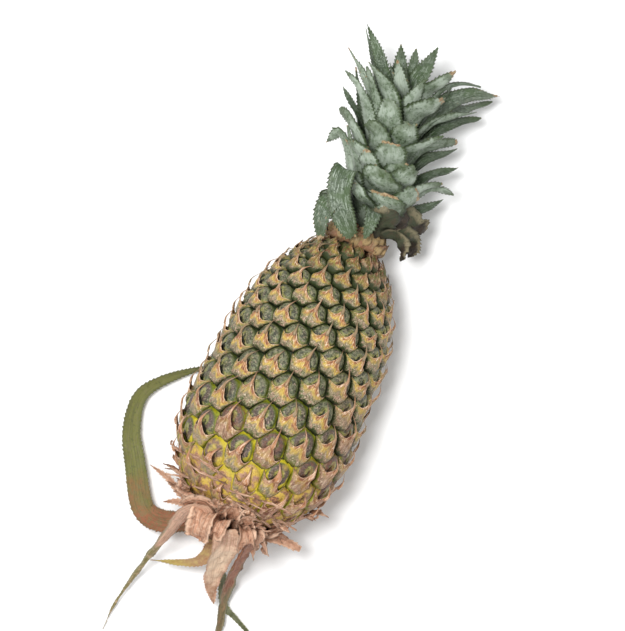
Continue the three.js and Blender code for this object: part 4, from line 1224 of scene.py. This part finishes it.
class PINEAPPLE_OT_bracts(bpy.types.Operator):
    """Adds a bract over the lower part of each eye, and its spine"""
    bl_idname = "pineapple.bracts"
    bl_label = "Bracts and spines"

    def execute(self, context):
        s = context.scene.pineapple_fruit
        cells = fruit_cells()
        bm = bmesh.new()
        layers = new_layers(bm, "bract", "eye")
        random = seeded(SEED + 1)
        for cell in cells:
            self.add_bract(bm, cell, s, random, layers)
        piece = finish_mesh(bm, "fruit_bracts", bract_material(s), outward=False)
        wall = piece.modifiers.new("thickness", "SOLIDIFY")
        wall.thickness = BRACT_THICK
        wall.offset = -1
        hand_in(piece, "fruit")

        bm = bmesh.new()
        layers = new_layers(bm, "bract", "eye")
        for cell in cells:
            self.add_spine(bm, cell, s, layers)
        for vert in bm.verts:
            vert.co.z = max(vert.co.z, 0)
        hand_in(finish_mesh(bm, "fruit_spines", spine_material(s)), "fruit")
        return {"FINISHED"}

    def add_bract(self, bm, cell, s, random, layers):
        """A sheet from the lower sides of a cell to the bract's free edge, with a keel."""
        across = np.linspace(-1, 1, BRACT_COLUMNS)
        chain = cell.corners[[3, 4, 5, 0]]
        run = distances(chain)
        bottom = read_line((across + 1) / 2 * run[-1], run, chain) * BRACT_INSET
        top = cell.free_edge(across)
        torn = (draws(random, BRACT_COLUMNS) - 0.5) * (1 - across ** 6)
        top[:, 1] += EDGE_RAGGED * torn * (1 + dryness_of(cell))
        up = np.array(BRACT_ROWS)[:, None]
        offsets = bottom[None] + (top - bottom)[None] * up[..., None]
        side_fade = 1 - across ** 4
        rounded = np.sqrt(1 - (1 - np.clip(up / 0.24, 0, 1)) ** 2)
        depth = s.groove_depth * float(groove_share(cell.arc))
        lift = -depth + (depth + s.bract_lift) * rounded * side_fade
        keel = 0.6 * (1 - np.abs(across)) ** 1.1 + 0.4 * np.exp(-(across / 0.2) ** 2)
        lift = lift + s.bract_rise * cell.size() * up ** 1.5 * keel
        creased = (draws(random, lift.size) - 0.5).reshape(lift.shape)
        lift = lift + BRACT_CREASE * creased * smooth(up, 0, 0.3) * (1 - np.abs(across) ** 3)
        lift = lift + TOPMOST_LIFT * cell.crowning * up
        spread = 1 + TOPMOST_SPREAD * cell.crowning
        places = cell.place(offsets * spread, lift, 0.6 * MM * up ** 2)
        foot = cell.foot + [0, 3 * MM]
        fan = np.arctan2(offsets[..., 0] - foot[0], foot[1] - offsets[..., 1])
        lay_grid(bm, places, zip(layers, [(across, up, fan), eye_values(cell)]))

    def add_spine(self, bm, cell, s, layers):
        """A spine that leaves the bract under the top of its keel and curves to the fruit."""
        lowest = smooth(0.36 - cell.share, 0, 0.12)
        broad = 1 + SPINE_BROAD_BASE * lowest + SPINE_BROAD_TOPMOST * cell.crowning
        share = np.linspace(0, 1, len(SPINE_WIDTHS))
        start = cell.foot + [0, -0.4 * cell.half_height]
        lean = math.tan(SPINE_SPREAD * cell.twist - SPINE_LEAN * math.sin(cell.angle))
        run = s.spine_length * (cell.size() * (0.5 + 0.8 * cell.vigour)) + 0.35 * cell.half_height
        offsets = np.stack([start[0] + lean * run * share ** 2, start[1] + run * share], axis=-1)
        top = s.bract_lift + s.bract_rise * cell.size()
        drop = SPINE_DROP * cell.size() * (1 - 0.5 * cell.crowning)
        lift = top - SPINE_SINK + SPINE_RISE * smooth(share, 0, 0.35) - drop * share ** 2
        middles = cell.place(offsets, lift)
        radii = s.spine_foot * cell.size() * broad * np.array(SPINE_WIDTHS)
        own, eye = layers
        tube(bm, middles, radii, around(cell.angle), own, [(eye, eye_values(cell))])


STEM_DIR = np.array([
    math.sin(CROWN_LEAN) * math.cos(CROWN_PITCH),
    math.cos(CROWN_LEAN) * math.cos(CROWN_PITCH),
    math.sin(CROWN_PITCH),
])
STEM_SIDE = np.array([math.cos(CROWN_LEAN), -math.sin(CROWN_LEAN), 0])
STEM_UP = np.cross(STEM_SIDE, STEM_DIR)


def on_stem(height):
    """Places on the axis of the crown's stem, at heights over its foot."""
    return on_axis(CROWN_AT) + np.multiply.outer(height, STEM_DIR)


def off_stem(angle):
    """The direction away from the stem at an angle from the top."""
    return around(angle, STEM_SIDE, STEM_UP)


def crown_blade(bm, leaf, look, random):
    """Adds one leaf of a table, with its root in the stem."""
    degrees, at, width, roll, cut, via = leaf
    angle = math.radians(degrees)
    outward = off_stem(angle)
    radius = np.interp(at, *np.transpose(STEM_OUTLINE[1:]))
    via = np.vstack([on_stem(at * MM) + outward * ROOT_SINK * radius * MM, np.array(via) * MM])
    look = {**look, "dry": (4 if cut else 2) * MM, "ragged": (2 if cut else 0) * MM}
    blade(
        bm, via, width * MM, off_stem(angle + math.pi / 2), STEM_DIR - outward, look, random, roll, cut)


def under_leaves():
    """The leaves that spread from the underside of the stem over the floor."""
    random = seeded(SEED)
    leaves = []
    for k in range(UNDER_COUNT):
        degrees = UNDER_FROM + UNDER_SPAN * ((k * GOLDEN) % 1)
        at = UNDER_STEP * k
        outward = off_stem(math.radians(degrees))
        via = []
        for out, up in ((19, 18 + 6 * next(random)), (25 + 7 * next(random), 38 + 12 * next(random))):
            place = on_stem((at + up) * MM) / MM + outward * out
            place[2] = max(place[2], UNDER_LOWEST)
            via.append(tuple(place))
        leaves.append((degrees, at, UNDER_WIDTH, 0, 0, via))
    return leaves


class PINEAPPLE_OT_crown(bpy.types.Operator):
    """Adds the crown: its leaves, the dead and the small scales at its foot, and its stem"""
    bl_idname = "pineapple.crown"
    bl_label = "Crown"

    def execute(self, context):
        s = context.scene.pineapple_crown
        green = crown_leaf_material(s)
        dead = dry_leaf_material(
            "dead scale", s, "dead_brown dead_olive dead_brown dead_pale leaf_dark dead_tan")
        foot = dry_leaf_material(
            "foot scale", s, "foot_brown foot_yellow foot_brown foot_dark foot_dark leaf_dry")
        half = len(CROWN_LEAVES) // 2
        self.add_leaves(s, "crown_upper_leaves", CROWN_LEAVES[:half], green, 1)
        self.add_leaves(s, "crown_lower_leaves", CROWN_LEAVES[half:] + INNER_LEAVES, green, 2)
        self.add_leaves(s, "crown_under_leaves", under_leaves(), green, 3)
        self.add_leaves(s, "crown_dead_scales", DEAD_SCALES, dead, 4, crumple=1.8 * MM, gutter=0.4)
        self.add_foot_scales(foot)
        self.add_stem(foot)
        return {"FINISHED"}

    def add_leaves(self, s, name, leaves, material, seed, **measures):
        bm = bmesh.new()
        look = blade_look(bm, pitch=s.tooth_pitch, tooth=s.tooth_length, **measures)
        random = seeded(seed)
        for leaf in leaves:
            crown_blade(bm, leaf, look, random)
        hand_in_leaves(bm, name, material, "crown")

    def add_foot_scales(self, material):
        """Small scales in a spiral over the collar, like the fruit's topmost bracts."""
        bm = bmesh.new()
        look = blade_look(
            bm, thick=0.5 * MM, tooth=0.4 * MM, ragged=4 * MM, crumple=0.8 * MM, ripple=0.6 * MM,
            gutter=0.35)
        random = seeded(FOOT_SEED)
        collar = np.array(COLLAR_OUTLINE[2:7]).T * MM
        for k in range(FOOT_SCALES):
            angle = k * EYE_TURN
            outward = around(angle)
            start = (FOOT_FROM + FOOT_SPAN * k / FOOT_SCALES) * MM
            reach = drawn(random, 9, 18)
            via = []
            for share, off in ((0, -0.5), (0.3, 1.2), (0.6, 2), (1, 2.5 + 6 * next(random))):
                at = start + share * reach
                via.append(on_axis(CROWN_AT + at) + outward * (np.interp(at, *collar) + off * MM))
            width = drawn(random, 5, 10)
            across = around(angle + math.pi / 2)
            blade(bm, np.array(via), width, across, -outward, look, random, cut=0.15)
        hand_in_leaves(bm, "crown_foot_scales", material, "crown")

    def add_stem(self, material):
        """The stem, and the collar between the fruit and the stem's foot."""
        bm = bmesh.new()
        new_layers(bm, "blade", "leaf")
        turn = np.linspace(0, 2 * math.pi, STEM_SIDES + 1)
        along, radius = np.transpose(STEM_OUTLINE) * MM
        lay_rings(bm, on_stem(along), off_stem(turn), radius)
        collar = Path(np.array(COLLAR_OUTLINE) * MM, doubled_ends=True)
        along, radius = collar.at(np.linspace(0, 1, COLLAR_ROWS))[0].T
        radius[[0, -1]] = 0
        lay_rings(bm, on_axis(CROWN_AT + along), around(turn), radius)
        hand_in(finish_mesh(bm, "crown_stem", material), "crown")


def flat_blade(bm, via, width, look, random, bent=None, **turned):
    """Adds a blade that lies flat, or one that bends over the rim of the fruit's base first,
    where bent is its angle from the top in degrees."""
    via = np.array(via) * MM
    across, inner = unit(np.cross(UP, via[1] - via[0])), UP
    if bent is not None:
        across, inner = around(math.radians(bent + 90)), AXIS_DIR
    blade(bm, via, width * MM, across, inner, look, random, **turned)


class PINEAPPLE_OT_base_leaves(bpy.types.Operator):
    """Adds the long dry leaves that hang on the stalk"""
    bl_idname = "pineapple.base_leaves"
    bl_label = "Dry leaves"

    def execute(self, context):
        s = context.scene.pineapple_dry
        for number, (node, (width, roll, bent, shape, via)) in enumerate(BASE_LEAVES.items()):
            slot, turns, colours, crumple = LEAF_FINISHES[node]
            bm = bmesh.new()
            look = blade_look(
                bm, shape=shape, tooth=0.65 * MM, thick=1.2 * MM, ripple=0.3 * MM, crumple=crumple * MM)
            flat_blade(bm, via, width, look, seeded(LEAF_SEED + number), bent, roll=roll)
            material = dry_leaf_material(node.replace("_", " "), s, colours, turns)
            hand_in_leaves(bm, node + "_blade", material, node)
        return {"FINISHED"}


class PINEAPPLE_OT_stalk(bpy.types.Operator):
    """Adds the cut stalk, the papery scales round it and the small leaves on it"""
    bl_idname = "pineapple.stalk"
    bl_label = "Stalk"

    def execute(self, context):
        s = context.scene.pineapple_dry
        bark = dry_leaf_material("stalk bark", s, "bark bark bark paper_brown paper_dark tan")
        paper = dry_leaf_material(
            "papery scale", s, "paper_brown paper paper paper_pale paper_dark paper_pale")
        bm = bmesh.new()
        new_layers(bm, "blade", "leaf")
        turn = np.linspace(0, 2 * math.pi, STALK_SIDES + 1)
        ring = around(turn) * (1 + STALK_RIB * np.sin(STALK_RIBS * turn))[:, None]
        along, radius = np.transpose(STALK_OUTLINE)
        lay_rings(bm, on_axis(STALK_FROM - along * MM), ring, radius * STALK_RADIUS)
        hand_in(finish_mesh(bm, "stalk_core", bark), "stalk")

        bm = bmesh.new()
        look = blade_look(
            bm, pitch=3 * MM, tooth=0.7 * MM, thick=0.5 * MM, ripple=1.2 * MM, ragged=7 * MM,
            crumple=0.9 * MM, gutter=0.3)
        random = seeded(SCALE_SEED)
        for k in range(DRY_SCALES):
            self.add_scale(bm, k * EYE_TURN, look, random)
        hand_in_leaves(bm, "stalk_scales", paper, "stalk")

        bm = bmesh.new()
        look = blade_look(
            bm, pitch=3 * MM, tooth=0.6 * MM, thick=0.7 * MM, ragged=5 * MM, crumple=1.5 * MM,
            gutter=0.4)
        for width, degrees, via in LOBES:
            flat_blade(bm, via, width, look, random, degrees, cut=0.3)
        look = {**look, "ragged": 0.0, "ripple": 0.3 * MM, "crumple": 0.5 * MM}
        for width, cut, via in STALK_LEAVES:
            flat_blade(bm, via, width, look, random, cut=cut)
        look = {**look, "tooth": 0.2 * MM}
        for _ in range(THREADS):
            self.add_thread(bm, look, random)
        hand_in_leaves(bm, "stalk_lobes", paper, "stalk")
        return {"FINISHED"}

    def add_scale(self, bm, angle, look, random):
        """A papery scale that lies against the fruit's base."""
        off = drawn(random, 1, 2.4)
        reach = drawn(random, 26, 41)
        curl = 3 * next(random) ** 2 * MM
        via = [
            on_axis(STALK_FROM - 4 * MM) + around(angle) * 0.6 * STALK_RADIUS,
            off_fruit(13 * MM, angle, off), off_fruit(23 * MM, angle, off),
            off_fruit(reach, angle, off + curl),
        ]
        width = drawn(random, 9, 16)
        across = around(angle + math.pi / 2)
        blade(bm, np.array(via), width, across, -AXIS_DIR, look, random, cut=0.25)

    def add_thread(self, bm, look, random):
        """A thin dry strand that curls away from the fruit's base."""
        angle = 2 * math.pi * next(random)
        arc = drawn(random, 26, 52)
        swing = 1.3 * (next(random) - 0.5)
        via = [
            off_fruit(arc, angle, 1 * MM),
            off_fruit(arc + 3 * MM, angle + 0.5 * swing, drawn(random, 2, 6)),
            off_fruit(arc + 5 * MM, angle + swing, drawn(random, 3, 10)),
        ]
        width = (1 + 5 * next(random) ** 2) * MM
        blade(bm, np.array(via), width, around(angle + math.pi / 2), -AXIS_DIR, look, random)


# ---- the stage -------------------------------------------------------------------------

IMAGE_SIZE = (625, 631)
CAMERA_PLACE = (-4.32 * MM, 39.93 * MM, 1500 * MM)
CAMERA_TURN = math.radians(25)    # the image's up leans this much from +Y toward -X
FOCUS_HEIGHT = 48 * MM            # the height at which a pixel's size holds
PIXEL = 0.57 * MM
SENSOR = 36.0
KEY_PLACE = (-0.26, 0.062, 1.35)
KEY_SIZE = 0.32


class PINEAPPLE_OT_stage(bpy.types.Operator):
    """Adds the floor, the light and the camera that looks down"""
    bl_idname = "pineapple.stage"
    bl_label = "Stage"

    def execute(self, context):
        s = context.scene.pineapple_stage
        self.add_floor(s)
        self.add_light(context, s)
        self.add_camera(context)
        return {"FINISHED"}

    def add_floor(self, s):
        material, t, shade = new_material("floor")
        shade((*s.floor_tone, 1), 0.9, t.noise(t.object_place(), 40.0), 0.01 * MM)
        bm = bmesh.new()
        bmesh.ops.create_grid(bm, x_segments=1, y_segments=1, size=3.0)
        finish_mesh(bm, "floor", material, outward=False)

    def add_light(self, context, s):
        world = bpy.data.worlds.new("sky")
        world.use_nodes = True
        sky = world.node_tree.nodes["Background"]
        sky.inputs["Color"].default_value = (1, 1, 1, 1)
        sky.inputs["Strength"].default_value = s.sky_strength
        context.scene.world = world
        lamp = bpy.data.lights.new("key", "AREA")
        lamp.shape = "DISK"
        lamp.size = KEY_SIZE
        lamp.energy = s.key_power
        key = bpy.data.objects.new("key", lamp)
        key.location = KEY_PLACE
        key.rotation_mode = "QUATERNION"
        key.rotation_quaternion = key.location.to_track_quat("Z", "Y")
        context.scene.collection.objects.link(key)

    def add_camera(self, context):
        lens = bpy.data.cameras.new("camera")
        lens.sensor_fit = "HORIZONTAL"
        lens.sensor_width = SENSOR
        lens.lens = SENSOR * (CAMERA_PLACE[2] - FOCUS_HEIGHT) / (IMAGE_SIZE[0] * PIXEL)
        lens.clip_end = 10
        camera = bpy.data.objects.new("camera", lens)
        camera.location = CAMERA_PLACE
        camera.rotation_euler = (0, 0, CAMERA_TURN)
        context.scene.collection.objects.link(camera)
        context.scene.camera = camera
        context.scene.view_settings.view_transform = "Standard"


class PINEAPPLE_PT_panel(bpy.types.Panel):
    """Lists the operators in the order in which they are used"""
    bl_idname = "PINEAPPLE_PT_panel"
    bl_label = "Pineapple"
    bl_space_type = "VIEW_3D"
    bl_region_type = "UI"
    bl_category = "Pineapple"

    def draw(self, context):
        for step in STEPS:
            self.layout.operator(step.bl_idname)


SETTINGS = {
    "pineapple_fruit": PineappleFruit, "pineapple_crown": PineappleCrown,
    "pineapple_dry": PineappleDry, "pineapple_stage": PineappleStage,
}
STEPS = (
    PINEAPPLE_OT_rind, PINEAPPLE_OT_bracts, PINEAPPLE_OT_crown, PINEAPPLE_OT_base_leaves,
    PINEAPPLE_OT_stalk, PINEAPPLE_OT_stage,
)


def register():
    for kind in (*SETTINGS.values(), *STEPS, PINEAPPLE_PT_panel):
        bpy.utils.register_class(kind)
    for name, kind in SETTINGS.items():
        setattr(bpy.types.Scene, name, PointerProperty(type=kind))


def unregister():
    for name in SETTINGS:
        delattr(bpy.types.Scene, name)
    for kind in (PINEAPPLE_PT_panel, *reversed(STEPS), *SETTINGS.values()):
        bpy.utils.unregister_class(kind)


def main():
    register()
    for step in STEPS:
        getattr(bpy.ops.pineapple, step.bl_idname.split(".")[1])()


if __name__ == "__main__":
    main()
